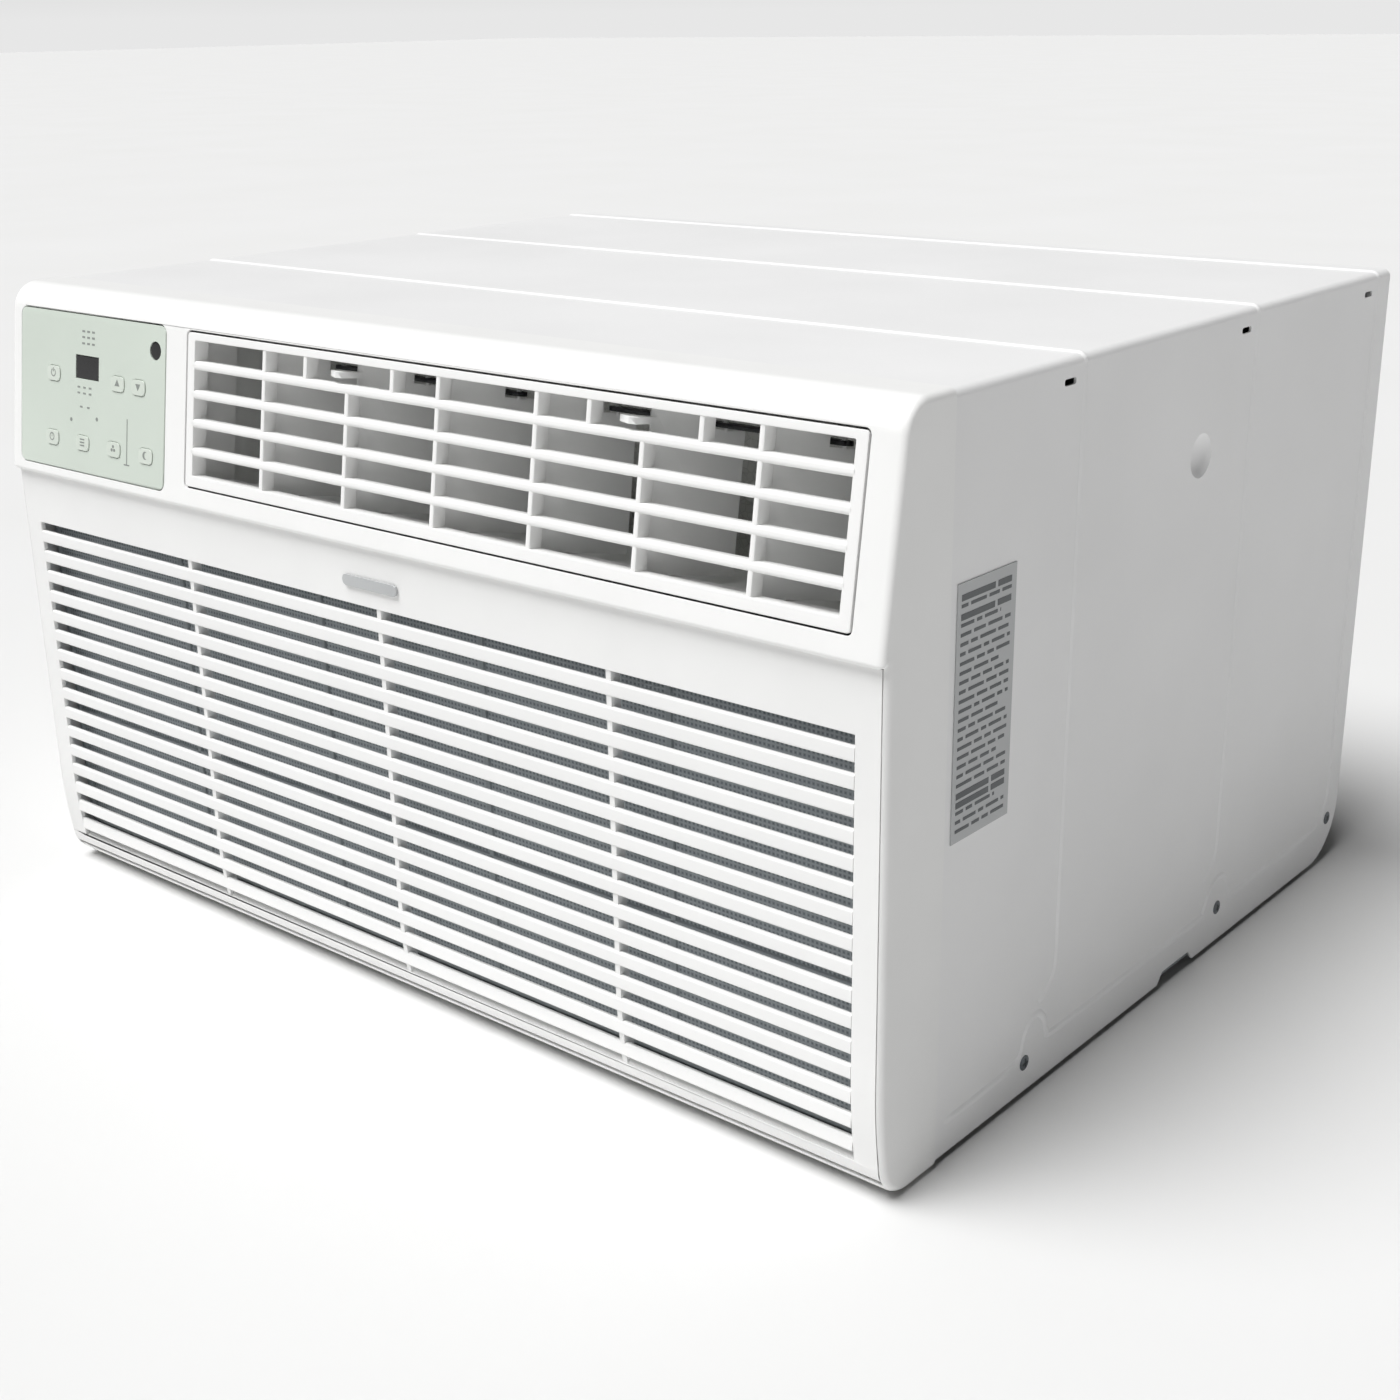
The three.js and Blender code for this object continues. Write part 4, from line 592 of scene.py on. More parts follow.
def turned(axis, profile, centre, sides=24, looped=False):
    """Solid of revolution about a line along an axis; profile as (radius, place along the line)."""
    rings = []
    for radius, along in profile:
        ring = []
        for i in range(sides):
            turn = 2 * math.pi * i / sides
            point = [centre[0] + radius * math.cos(turn), centre[1] + radius * math.sin(turn)]
            point.insert("xyz".index(axis), along)
            ring.append(point)
        rings.append(ring)
    return loft(rings, looped)


# ---- sizes shared with the frame

panel_low, panel_high = span("front_panel")
grille_low, grille_high = span("intake_grille")
HALF_WIDTH = panel_high.x
PANEL_WALL = 2.5
UPPER_TILT = math.radians(8.5)
TOP_RADIUS = 16
BOTTOM_RADIUS = 20
SIDE_RADIUS = 3.5
LIP_RADIUS = 2
LEAN_HEIGHT = 40
LEAN_BACK = 3
LEAN_STEPS = 6
LEAN_RADIUS = (LEAN_HEIGHT ** 2 + LEAN_BACK ** 2) / (2 * LEAN_BACK)
STEP_GAP = 0.8
FACE_Y = grille_low.y
STEP_Z = grille_high.z + STEP_GAP
FOOT_CENTRE = (FACE_Y + LEAN_BACK + BOTTOM_RADIUS, panel_low.z + BOTTOM_RADIUS)
UPPER_FACE = Matrix.Translation((0, panel_low.y, STEP_Z)) @ Matrix.Rotation(-UPPER_TILT, 4, "X")


def on_upper_face(mesh):
    """Moves a mesh drawn on the upright plane onto the section that leans back."""
    mesh.transform(UPPER_FACE)
    return mesh


def face_lean(z):
    """How far the face has curved back at a height."""
    drop = max(FOOT_CENTRE[1] + LEAN_HEIGHT - z, 0)
    return LEAN_RADIUS - math.sqrt(LEAN_RADIUS ** 2 - drop ** 2)


def face_lean_angle(z):
    return math.asin(max(FOOT_CENTRE[1] + LEAN_HEIGHT - z, 0) / LEAN_RADIUS)


def lean_line(inset):
    """The face, drawn in by an inset, from the top of its foot's curve to where it stands upright."""
    heights = [FOOT_CENTRE[1] + LEAN_HEIGHT * i / LEAN_STEPS for i in range(1, LEAN_STEPS + 1)]
    return [(FACE_Y + inset + face_lean(z), z) for z in heights]


# ---- front panel

LOUVRE_X = (-143.5, 291)
LOUVRE_RISE = (11, 93.5)
CONTROL_X = (-298, -161)
CONTROL_RISE = (6, 94)
CONTROL_DEPTH = 2
CONTROL_RIM = 4
LOUVRE_CORNER = 3
CONTROL_CORNER = 5
OPENING_AHEAD = -8
LOUVRE_REACH = 60
CONTROL_REACH = 20
SHELF_BEHIND = 0.6
GRILLE_GAP = 0.5
GRILLE_FOOT_AHEAD = 3
PANEL_EASE = 0.5
ON_FACE = 0.1
LEAST_RADIUS = 0.4
FOOT_STEPS, LIP_STEPS, TOP_STEPS, SIDE_STEPS = 14, 5, 12, 6


def front_profile(inset, rear):
    """Side outline of the front, drawn in by an inset."""
    low, high = panel_low.z + inset, panel_high.z - inset
    points = [(rear, low)]
    points += arc(FOOT_CENTRE, BOTTOM_RADIUS - inset, 270, 180, FOOT_STEPS)
    points += lean_line(inset)
    step = STEP_Z + inset
    points.append((FACE_Y + inset, step))
    lip = panel_low.y + inset / math.cos(UPPER_TILT) - inset * math.tan(UPPER_TILT)
    tilt = math.degrees(UPPER_TILT)
    radius = max(LIP_RADIUS - inset, LEAST_RADIUS)
    centre = (lip + radius * (1 + math.sin(UPPER_TILT)) / math.cos(UPPER_TILT), step + radius)
    points += arc(centre, radius, 270, 180 - tilt, LIP_STEPS)
    corner = lip + (high - step) * math.tan(UPPER_TILT)
    radius = TOP_RADIUS - inset
    centre = (corner + radius * math.tan((math.pi / 2 - UPPER_TILT) / 2), high - radius)
    points += arc(centre, radius, 180 - tilt, 90, TOP_STEPS)
    points.append((rear, high))
    return points


def rounded_side_rings(outline_at, half, radius):
    """Rings across the width whose ends are rounded to a radius."""
    rings = []
    for i in range(SIDE_STEPS + 1):
        turn = math.radians(90 * i / SIDE_STEPS)
        x = half - radius * (1 - math.sin(turn))
        rings.append((x, outline_at(radius * (1 - math.cos(turn)))))
    left = [[(-x, y, z) for y, z in outline] for x, outline in reversed(rings)]
    return left + [[(x, y, z) for y, z in outline] for x, outline in rings]


def build_front_panel():
    rear = panel_high.y
    shell = loft(rounded_side_rings(lambda inset: front_profile(inset, rear), HALF_WIDTH, SIDE_RADIUS))
    inside = HALF_WIDTH - PANEL_WALL
    ahead = panel_low.y - CUT_PAST
    shelf = box_mesh((-HALF_WIDTH, HALF_WIDTH), (ahead, grille_high.y + SHELF_BEHIND),
                     (STEP_Z, STEP_Z + PANEL_WALL))
    hollow = cut_away(prism_x(front_profile(PANEL_WALL, rear + CUT_PAST), (-inside, inside)), [shelf])
    grille_opening = box_mesh((-inside, inside), (ahead, FOOT_CENTRE[0] - GRILLE_FOOT_AHEAD),
                              (grille_low.z - GRILLE_GAP, STEP_Z))
    louvre_outline = rounded_rectangle(*LOUVRE_X, *LOUVRE_RISE, LOUVRE_CORNER)
    control_outline = rounded_rectangle(*CONTROL_X, *CONTROL_RISE, CONTROL_CORNER)
    window_x = (CONTROL_X[0] + CONTROL_RIM, CONTROL_X[1] - CONTROL_RIM)
    window_rise = (CONTROL_RISE[0] + CONTROL_RIM, CONTROL_RISE[1] - CONTROL_RIM)
    leaning = [prism_y(louvre_outline, (OPENING_AHEAD, LOUVRE_REACH)),
               prism_y(control_outline, (OPENING_AHEAD, CONTROL_DEPTH)),
               box_mesh(window_x, (OPENING_AHEAD, CONTROL_REACH), window_rise)]
    for cutter in (hollow, grille_opening, *map(on_upper_face, leaning)):
        shell = cut_away(shell, [cutter])
    to_face = UPPER_FACE.inverted()

    def round_an_opening(point):
        x, depth, rise = to_face @ point
        in_width = CONTROL_X[0] - 1 < x < LOUVRE_X[1] + 1
        return in_width and abs(depth) < ON_FACE and 1 < rise < CONTROL_RISE[1] + 1

    shell = broken_edges(shell, PANEL_EASE, round_an_opening)
    finish_piece("front_casing", shell, casing_abs, "chassis", ("front_panel",))


# ---- intake grille

SLOT_COUNT = 17
SLOT_HEIGHT = 5
SLOT_TOP = STEP_Z - 33.5
SLOT_FOOT = 21.3
SLOT_PITCH = (SLOT_TOP - SLOT_FOOT) / (SLOT_COUNT - 1)
SLOT_X = (-291.5, 291.5)
RIB_PLACES = (-149.5, 3.5, 156.5)
RIB_WIDTH = 3
GRILLE_WALL = 3
GRILLE_HALF = HALF_WIDTH - PANEL_WALL - 0.5
HINGE_TURN = 20
HINGE_BARREL = 6
HINGE_SET_IN = BOTTOM_RADIUS - HINGE_BARREL
HINGE = (FOOT_CENTRE[0] - HINGE_SET_IN * math.cos(math.radians(HINGE_TURN)),
         FOOT_CENTRE[1] - HINGE_SET_IN * math.sin(math.radians(HINGE_TURN)))
HINGE_PIN = 2.2
FIELD_BEHIND = 6.5
GRILLE_EASE = 0.6
SLAT_RADIUS = 1.1
SLAT_STEPS = 4
RIB_SINK = 0.7
RIB_BEHIND = 4
RIB_BELOW_TOP = 20
GRILLE_RIM = 2.5
RIM_BEHIND = 12
RIM_BELOW_TOP = 0.4


def grille_line(inset, top):
    foot = arc(FOOT_CENTRE, BOTTOM_RADIUS - inset, 180 + HINGE_TURN, 180, LIP_STEPS)
    return foot + lean_line(inset) + [(FACE_Y + inset, top)]


def build_intake_grille():
    top = grille_high.z
    whole = (-GRILLE_HALF, GRILLE_HALF)
    plate = prism_x(grille_line(0, top) + grille_line(GRILLE_WALL, top)[::-1], whole)
    field = box_mesh(SLOT_X, (FACE_Y - CUT_PAST, FACE_Y + FIELD_BEHIND),
                     (SLOT_FOOT - SLOT_HEIGHT / 2, SLOT_TOP + SLOT_HEIGHT / 2))
    plate = cut_away(plate, [field])

    def round_the_field(point):
        return SLOT_X[0] - 1 < point.x < SLOT_X[1] + 1 and point.z < SLOT_TOP + SLOT_HEIGHT

    plate = broken_edges(plate, GRILLE_EASE, round_the_field)
    section = rounded_rectangle(0, GRILLE_WALL, *about(0, SLOT_PITCH - SLOT_HEIGHT), SLAT_RADIUS, SLAT_STEPS)
    slat = prism_x(section, SLOT_X)
    heights = [SLOT_TOP - (row + 0.5) * SLOT_PITCH for row in range(SLOT_COUNT - 1)]
    slats = stamped(slat, [(0, FACE_Y + face_lean(z), z) for z in heights],
                    [-face_lean_angle(z) for z in heights], casing_abs)
    rib_top = top - RIB_BELOW_TOP
    rib = grille_line(RIB_SINK, rib_top) + grille_line(GRILLE_WALL + RIB_BEHIND, rib_top)[::-1]
    ribs = [prism_x(rib, about(x, RIB_WIDTH)) for x in RIB_PLACES]
    barrel = turned("x", [(HINGE_BARREL, x) for x in whole], HINGE)
    pins = turned("x", [(HINGE_PIN, grille_low.x), (HINGE_PIN, grille_high.x)], HINGE)
    rim_top = top - RIM_BELOW_TOP
    top_rim = box_mesh(whole, (FACE_Y + GRILLE_WALL / 2, FACE_Y + RIM_BEHIND), (top - GRILLE_RIM, rim_top))
    side_y, side_z = (FACE_Y + LEAN_BACK, FACE_Y + RIM_BEHIND), (FOOT_CENTRE[1], rim_top)
    sides = [box_mesh(sorted((side * GRILLE_HALF, side * (GRILLE_HALF - GRILLE_RIM))), side_y, side_z)
             for side in (-1, 1)]
    mesh = joined([plate, slats, *ribs, barrel, pins, top_rim, *sides])
    finish_piece("intake_grille_face", mesh, casing_abs, "grille", ("intake_grille",))


FILTER_RIB = 3
FILTER_COLUMNS = 5
FILTER_ROWS = 3
FILTER_EASE = 0.5
FILTER_RIB_SINK = 0.6
NET_TUCK = 2
NET_THICKNESS = 0.8


def build_filter():
    low, high = span("air_filter")
    outer = inset_rectangle(low, high, 0, FILTER_RIB)
    inner = inset_rectangle(low, high, FILTER_RIB, FILTER_RIB / 2)
    parts = [broken_edges(ring_prism(outer, inner, (low.y, high.y)), FILTER_EASE)]
    half = FILTER_RIB / 2
    x, z = (low.x + half, high.x - half), (low.z + half, high.z - half)
    y = (low.y + FILTER_RIB_SINK, high.y - FILTER_RIB_SINK)
    parts += split_bars(x, z, FILTER_COLUMNS, FILTER_ROWS, FILTER_RIB, y, half - 1, FILTER_EASE)
    finish_piece("filter_frame", joined(parts), filter_frame_pp, "filter", ("air_filter",))
    sheet = box_mesh((low.x + NET_TUCK, high.x - NET_TUCK), about((low.y + high.y) / 2, NET_THICKNESS),
                     (low.z + NET_TUCK, high.z - NET_TUCK))
    finish_piece("filter_net_sheet", sheet, filter_net, "filter")


# ---- louvre insert

SIDE_FRAME = 6
GRID_DEPTH = 9
RIM_WALL = 2.4
ROW_COUNT = 5
ROW_HEIGHT = 10.5
ROW_PITCH = 15
COLUMN_COUNT = 7
END_COLUMN_TRIM = 12.25
DIVIDER_SHIFT = 5
DIVIDER_WIDTH = 3
LEVER_DIVIDERS = (1, 4)
DIVIDER_EASE = 0.9
DIVIDER_SINK = 0.4
BAR_RADIUS = 1.6
BAR_STEPS = 4
GRID_RAISED = 1


def upper_span(node):
    """Lowest and highest corner of a node, measured along the leaning face."""
    mesh = from_node(node)
    mesh.transform(UPPER_FACE.inverted())
    corners = [v.co for v in mesh.vertices]
    return [Vector([pick(c[i] for c in corners) for i in range(3)]) for pick in (min, max)]


def build_louvre():
    """The grid of the air outlet: frame and rim, four crossbars, and dividers with rounded fronts."""
    low, high = upper_span("louvre_insert")
    left, right = low.x + SIDE_FRAME, high.x - SIDE_FRAME
    pitch = (right - left + 2 * END_COLUMN_TRIM) / COLUMN_COUNT
    dividers = [left - END_COLUMN_TRIM + DIVIDER_SHIFT + i * pitch for i in range(1, COLUMN_COUNT)]
    middle = (low.z + high.z) / 2 + GRID_RAISED
    bottom = middle - (ROW_COUNT - 1) / 2 * ROW_PITCH - ROW_HEIGHT / 2
    top = middle + (ROW_COUNT - 1) / 2 * ROW_PITCH + ROW_HEIGHT / 2
    outer = inset_rectangle(low, high, 0, radius=2)
    opening = rounded_rectangle(left, right, bottom, top, 0.8)
    rim = inset_rectangle(low, high, RIM_WALL, radius=1)
    parts = [broken_edges(ring_prism(outer, opening, (0, GRID_DEPTH)), GRILLE_EASE),
             ring_prism(outer, rim, (GRID_DEPTH - 1, high.y))]
    section = rounded_rectangle(0, GRID_DEPTH, 0, ROW_PITCH - ROW_HEIGHT, BAR_RADIUS, BAR_STEPS)
    bar = prism_x(section, (left - 1, right + 1))
    bar.transform(Matrix.Translation((0, 0, bottom + ROW_HEIGHT)))
    parts.append(in_a_row(bar, ROW_COUNT - 1, (0, 0, ROW_PITCH), casing_abs))
    top_row = bottom + (ROW_COUNT - 1) * ROW_PITCH - 1
    depth = (DIVIDER_SINK, GRID_DEPTH - DIVIDER_SINK)
    for i, x in enumerate(dividers):
        uprights = [(x, bottom - 1, top + 1)]
        if i in LEVER_DIVIDERS:
            shorts = [(x + shift, top_row, top + 1) for shift in (-pitch / 2, pitch / 2)]
            uprights = [(x, bottom - 1, top_row), *shorts]
        for place, foot, head in uprights:
            parts.append(eased_box(about(place, DIVIDER_WIDTH), depth, (foot, head), DIVIDER_EASE))
    mesh = on_upper_face(joined(parts))
    finish_piece("louvre_frame", mesh, casing_abs, "chassis", ("louvre_insert",))


# ---- cabinet

CABINET_SHEET = 1.2
CABINET_CORNER = 4
BEAD_WIDTH = 4.8
BEAD_FLANK = [(1, 0), (0.85, 0.08), (0.4, 0.88), (0.25, 1)]
BEAD_SECTION = [(-share, rise) for share, rise in BEAD_FLANK] + BEAD_FLANK[::-1]
BEAD_HEIGHT = 0.9
BEAD_FADE = 2
BEAD_SINK = 0.08
BEAD_ROOT = 0.7
BEADS = (148, 320, 472)
BEAD_RUN = (200, 90)
BEAD_END = 62
BEAD_HOOK = [(0, 64), (-3, 55), (-8, 50), (-15, 47)]
ROOF_STEPS = 6
cabinet_low, cabinet_high = span("cabinet_wrapper")
CABINET_HALF = cabinet_high.x - BEAD_HEIGHT
CABINET_TOP = cabinet_high.z - BEAD_HEIGHT
REAR_CORNER = 35
DIMPLE_CENTRE = (FACE_Y + 266, 288)
DIMPLE_SIDES = 40
DIMPLE_LIP = 0.4
DIMPLE_TIP = 0.2
DIMPLE_CUP = [(0.4, 0.93), (0.75, 0.66)]
DIMPLE_RADIUS = 11
DIMPLE_DEPTH = 3.6
CUT_WIDE = 20
CORNER_STEPS = 24
NOTCH_BEHIND = 279
NOTCH_HALF_FOOT, NOTCH_HALF_TOP = 21, 15
NOTCH_RISE = 6
HOLE_BEFORE_BEAD = 13
HOLE_WIDTH = 10
HOLE_BELOW_ROOF = (12, 9)
HOLE_CORNER = 1.2


def cabinet_section(inset):
    half, top, radius = CABINET_HALF - inset, CABINET_TOP - inset, CABINET_CORNER - inset
    right = arc((half - radius, top - radius), radius, 0, 90, 8)
    left = arc((radius - half, top - radius), radius, 90, 180, 8)
    return [(half, cabinet_low.z)] + right + left + [(-half, cabinet_low.z)]


def smooth_path(points, steps=6):
    """A Catmull-Rom curve through points in a plane."""
    padded = [points[0]] + list(points) + [points[-1]]
    path = []
    for i in range(1, len(padded) - 2):
        a, b, c, d = (Vector(p) for p in padded[i - 1:i + 3])
        for k in range(steps):
            t = k / steps
            path.append(0.5 * ((2 * b) + (c - a) * t + (2 * a - 5 * b + 4 * c - d) * t ** 2
                               + (3 * b - a - 3 * c + d) * t ** 3))
    return path + [Vector(points[-1])]


def bead_strip(path):
    """A low pressed bead along a path of (place, outward direction)."""
    rings = []
    for i, (place, normal) in enumerate(path):
        before, after = path[max(i - 1, 0)][0], path[min(i + 1, len(path) - 1)][0]
        across = (after - before).normalized().cross(normal).normalized()
        end_fade = min(i, len(path) - 1 - i, BEAD_FADE) / BEAD_FADE
        ring = []
        for share, rise in BEAD_SECTION:
            lift = BEAD_HEIGHT * rise * end_fade - (1 - rise) * BEAD_SINK
            ring.append(tuple(place + across * (share * BEAD_WIDTH / 2) + normal * lift))
        ring += [tuple(place + across * (side * BEAD_WIDTH / 2) - normal * BEAD_ROOT) for side in (1, -1)]
        rings.append(ring)
    return loft(rings)


def side_path(points, side):
    normal = Vector((side, 0, 0))
    return [(Vector((side * CABINET_HALF, FACE_Y + p[0], p[1])), normal) for p in smooth_path(points)]


def over_roof_path(behind):
    """Up one side, over the roof and down the other."""
    y = FACE_Y + behind
    path = []
    corner = CABINET_HALF - CABINET_CORNER
    for start, centre in ((0, corner), (90, -corner)):
        for i in range(ROOF_STEPS + 1):
            turn = math.radians(start + 90 * i / ROOF_STEPS)
            normal = Vector((math.cos(turn), 0, math.sin(turn)))
            path.append((Vector((centre, y, CABINET_TOP - CABINET_CORNER)) + normal * CABINET_CORNER, normal))
    return path


def vertical_bead_foot(behind, hooked):
    """The bead down one side; the foot of a hooked one curls forward."""
    head = [(behind, z) for z in (CABINET_TOP - CABINET_CORNER, *BEAD_RUN)]
    if hooked:
        return head + [(behind + shift, z) for shift, z in BEAD_HOOK]
    return head + [(behind, BEAD_END)]


LOWER_BEAD = [
    (52, 20), (80, 20.5), (110, 21.5), (118, 25), (121, 33), (126, 39.5), (133, 41), (139, 36), (142, 28),
    (148, 25), (200, 25), (298, 25), (309, 28), (314, 36), (321, 42), (330, 42), (337, 36), (340, 28),
    (347, 25.5), (400, 25.5), (448, 25.5), (464, 31), (471, 44), (472, 62)]


def dimple(side):
    """A shallow pressed cup that fills its round hole in the sheet."""
    edge = DIMPLE_RADIUS + DIMPLE_LIP
    profile = [(DIMPLE_TIP, -DIMPLE_DEPTH)]
    profile += [(DIMPLE_RADIUS * share, -DIMPLE_DEPTH * fall) for share, fall in DIMPLE_CUP]
    profile += [(DIMPLE_RADIUS - 0.6, -0.5), (edge, -0.1), (edge, -1),
                (DIMPLE_RADIUS * DIMPLE_CUP[-1][0], -DIMPLE_DEPTH - 0.2), (DIMPLE_TIP, -DIMPLE_DEPTH - 0.8)]
    outside = [(r, side * (CABINET_HALF + depth)) for r, depth in profile]
    return turned("x", outside, DIMPLE_CENTRE, DIMPLE_SIDES)


def build_cabinet():
    section = cabinet_section(0) + cabinet_section(CABINET_SHEET)[::-1]
    sheet = prism_y(section, (cabinet_low.y, cabinet_high.y))
    wide = (-HALF_WIDTH - CUT_WIDE, HALF_WIDTH + CUT_WIDE)
    rear, foot = cabinet_high.y, cabinet_low.z
    corner = arc((rear - REAR_CORNER, foot + REAR_CORNER), REAR_CORNER, 270, 360, CORNER_STEPS)
    corner += [(rear + 2, foot + REAR_CORNER), (rear + 2, foot - 2), (rear - REAR_CORNER, foot - 2)]
    notch_y = FACE_Y + NOTCH_BEHIND
    notch = [(notch_y - NOTCH_HALF_FOOT, foot - 1), (notch_y + NOTCH_HALF_FOOT, foot - 1),
             (notch_y + NOTCH_HALF_TOP, foot + NOTCH_RISE), (notch_y - NOTCH_HALF_TOP, foot + NOTCH_RISE)]
    cutters = [prism_x(corner, wide), prism_x(notch, wide)]
    hole_z = [CABINET_TOP - drop for drop in HOLE_BELOW_ROOF]
    for behind in BEADS:
        y = about(FACE_Y + behind - HOLE_BEFORE_BEAD, HOLE_WIDTH)
        cutters.append(prism_x(rounded_rectangle(*y, *hole_z, HOLE_CORNER, 3), wide))
    cutters.append(turned("x", [(DIMPLE_RADIUS, x) for x in wide], DIMPLE_CENTRE, DIMPLE_SIDES))
    parts = [cut_away(sheet, cutters)]
    for behind in BEADS:
        parts.append(bead_strip(over_roof_path(behind)))
        for side in (-1, 1):
            parts.append(bead_strip(side_path(vertical_bead_foot(behind, behind != BEADS[-1]), side)))
    for side in (-1, 1):
        parts.append(bead_strip(side_path(LOWER_BEAD, side)))
        parts.append(dimple(side))
    mesh = joined(parts)
    finish_piece("cabinet_shell", mesh, cabinet_coat, "chassis", ("cabinet_wrapper",))


HEAD_RISE = 0.75
SHANK_RADIUS = 1.9
SHANK_LENGTH = 3
CROSS_REACH = 4.8
CROSS_WIDTH = 0.9
CROSS_DEPTH = (0.3, 2)
SCREW_TURN = 0.3


def build_casing_screws():
    """Pan heads with a cross recess, three to a side."""
    nodes = [f"{side}_casing_screw_{i}" for side in ("left", "right") for i in (1, 2, 3)]
    low, high = span("right_casing_screw_1")
    radius = (high.z - low.z) / 2
    seat = high.x - HEAD_RISE
    profile = [(TIP, -SHANK_LENGTH), (SHANK_RADIUS, -SHANK_LENGTH), (SHANK_RADIUS, 0), (radius, 0),
               (radius, HEAD_RISE / 3), (radius * 0.8, HEAD_RISE * 0.8), (radius * 0.4, HEAD_RISE),
               (TIP, HEAD_RISE)]
    head = turned("x", profile, (0, 0), 28)
    long, thin = about(0, CROSS_REACH), about(0, CROSS_WIDTH)
    head = cut_away(head, [box_mesh(CROSS_DEPTH, long, thin)])
    head = cut_away(head, [box_mesh(CROSS_DEPTH, thin, long)])
    meshes = []
    for side, group in ((-1, nodes[:3]), (1, nodes[3:])):
        unit = head.copy()
        if side < 0:
            unit.transform(Matrix.Rotation(math.pi, 4, "Z"))
        centres = [(span(node)[0] + span(node)[1]) / 2 for node in group]
        places = [(side * seat, c.y, c.z) for c in centres]
        meshes.append(stamped(unit, places, [SCREW_TURN * i for i in range(3)], plated_steel))
    finish_piece("casing_screw_set", joined(meshes), screw_zinc, "chassis", nodes)


PRINT_ROWS = 26
PRINT_PITCH = 4.2
PRINT_MARGIN = (3, 4, 5)
PRINT_SHORT = 12
PRINT_GAP = 2.2
PRINT_PROUD = 0.12
HEAVY_ROWS = (0, 2, 21, 22)
HEAVY_BAR = (26, 2.8)
LIGHT_BAR_HEIGHT = 1.5
SHORTEST_BAR = 4
BAR_SPREAD = 9


def build_rating_label():
    """A grey film label with bars in place of its print."""
    low, high = span("rating_label")
    eased_copy("rating_label", "label_plate", label_film, "chassis", "label_film", 0)
    front, rear, top = PRINT_MARGIN
    bars = []
    for row in range(PRINT_ROWS):
        z = high.z - top - row * PRINT_PITCH
        y = low.y + front
        limit = high.y - (PRINT_SHORT if row % 5 == 3 else rear)
        while y < limit:
            length, height = SHORTEST_BAR + (row * 7 + int(y)) % BAR_SPREAD, LIGHT_BAR_HEIGHT
            if row in HEAVY_ROWS:
                length, height = HEAVY_BAR
            end = min(y + length, limit)
            bars.append(box_mesh((high.x, high.x + PRINT_PROUD), (y, end), (z - height, z)))
            y = end + PRINT_GAP
    finish_piece("label_print", joined(bars), label_ink, "chassis")


# ---- control section

BUTTONS = ("timer", "mode", "fan", "sleep", "power", "temp_up", "temp_down")
LENS_EASE = 0.3
BUTTON_EASE = 0.35
BUTTON_PROUD = 0.6
SYMBOL_RAISED = 0.4
MARK_SPAN = (-0.08, 0.05)
LAMP_RADIUS = 1.1
LAMP_PLACES = [(-248, 35), (-223.4, 37.6)]
SCALE_X = -195
SCALE_LINE = (28.5, 0.7, 25)
SCALE_FOOT = (16, 5, 0.7)
SYMBOL_RING = (2.3, 1.7)
HAND_RISE, HAND_SIZE = 0.7, (0.5, 1.8)
STROKE_RISE, STROKE_SIZE = 1.6, (0.6, 2.2)
MENU_PITCH, MENU_BAR = 1.7, (4.2, 0.7)
BLADE_REACH, BLADE_RADIUS, BLADE_TURNS = 1.3, 0.9, (1.57, 3.66, 5.76)
MOON_RADIUS, MOON_HOLLOW, MOON_SHIFT = 2.2, 1.9, 1.3
ARROW_HALF, ARROW_FOOT, ARROW_TIP = 2.2, 1.5, 2.1
MARK_STEPS = 14
UNIT_DOTS = (-232, (-4.6, 0, 4.6), (78, 81.4, 84.6), 2.6, 1.1)
MODE_DOTS = (-235.5, (-5.4, 0, 5.4), (53.8, 50.6), 2.4, 1.0)
TIMER_DOTS = (-235, (-3.4, 3.4), (43,), 2.4, 1.0)


def flat_mark(outline, depth):
    """A printed mark on the leaning face: an outline in (x, rise) just proud of a depth."""
    return on_upper_face(prism_y(outline, [depth + past for past in MARK_SPAN]))


def ring_outline(centre, outer, inner, start=90, sweep=300, steps=20):
    return arc(centre, outer, start, start + sweep, steps) + arc(centre, inner, start + sweep, start, steps)


def bar_outline(x, z, width, height):
    (left, right), (low, high) = about(x, width), about(z, height)
    return [(left, low), (right, low), (right, high), (left, high)]


def button_marks(kind, x, z):
    """Outlines of a button's plain symbol about a centre."""
    if kind == "timer":
        return [ring_outline((x, z), *SYMBOL_RING, 90, 355), bar_outline(x, z + HAND_RISE, *HAND_SIZE)]
    if kind == "mode":
        return [bar_outline(x, z + rise, *MENU_BAR) for rise in (-MENU_PITCH, 0, MENU_PITCH)]
    if kind == "fan":
        hubs = [(x + BLADE_REACH * math.cos(t), z + BLADE_REACH * math.sin(t)) for t in BLADE_TURNS]
        return [arc(hub, BLADE_RADIUS, 0, 345, MARK_STEPS) for hub in hubs]
    if kind == "sleep":
        hollow = arc((x + MOON_SHIFT, z), MOON_HOLLOW, 280, 80, MARK_STEPS)
        return [arc((x, z), MOON_RADIUS, 60, 300, MARK_STEPS) + hollow]
    if kind == "power":
        return [ring_outline((x, z), *SYMBOL_RING, 120, 300), bar_outline(x, z + STROKE_RISE, *STROKE_SIZE)]
    tip = 1 if kind == "temp_up" else -1
    foot = z - ARROW_FOOT * tip
    return [[(x - ARROW_HALF, foot), (x + ARROW_HALF, foot), (x, z + ARROW_TIP * tip)]]


def build_buttons():
    for kind in BUTTONS:
        node = f"{kind}_button"
        eased_copy(node, f"{node}_cap", button_abs, node, "button_plastic", BUTTON_EASE)
        low, high = span(node)
        local = UPPER_FACE.inverted() @ ((low + high) / 2)
        outlines = button_marks(kind, local.x, local.z + SYMBOL_RAISED)
        marks = [outward(flat_mark(outline, -BUTTON_PROUD)) for outline in outlines]
        finish_piece(f"{node}_symbol", joined(marks), printed_ink, node)


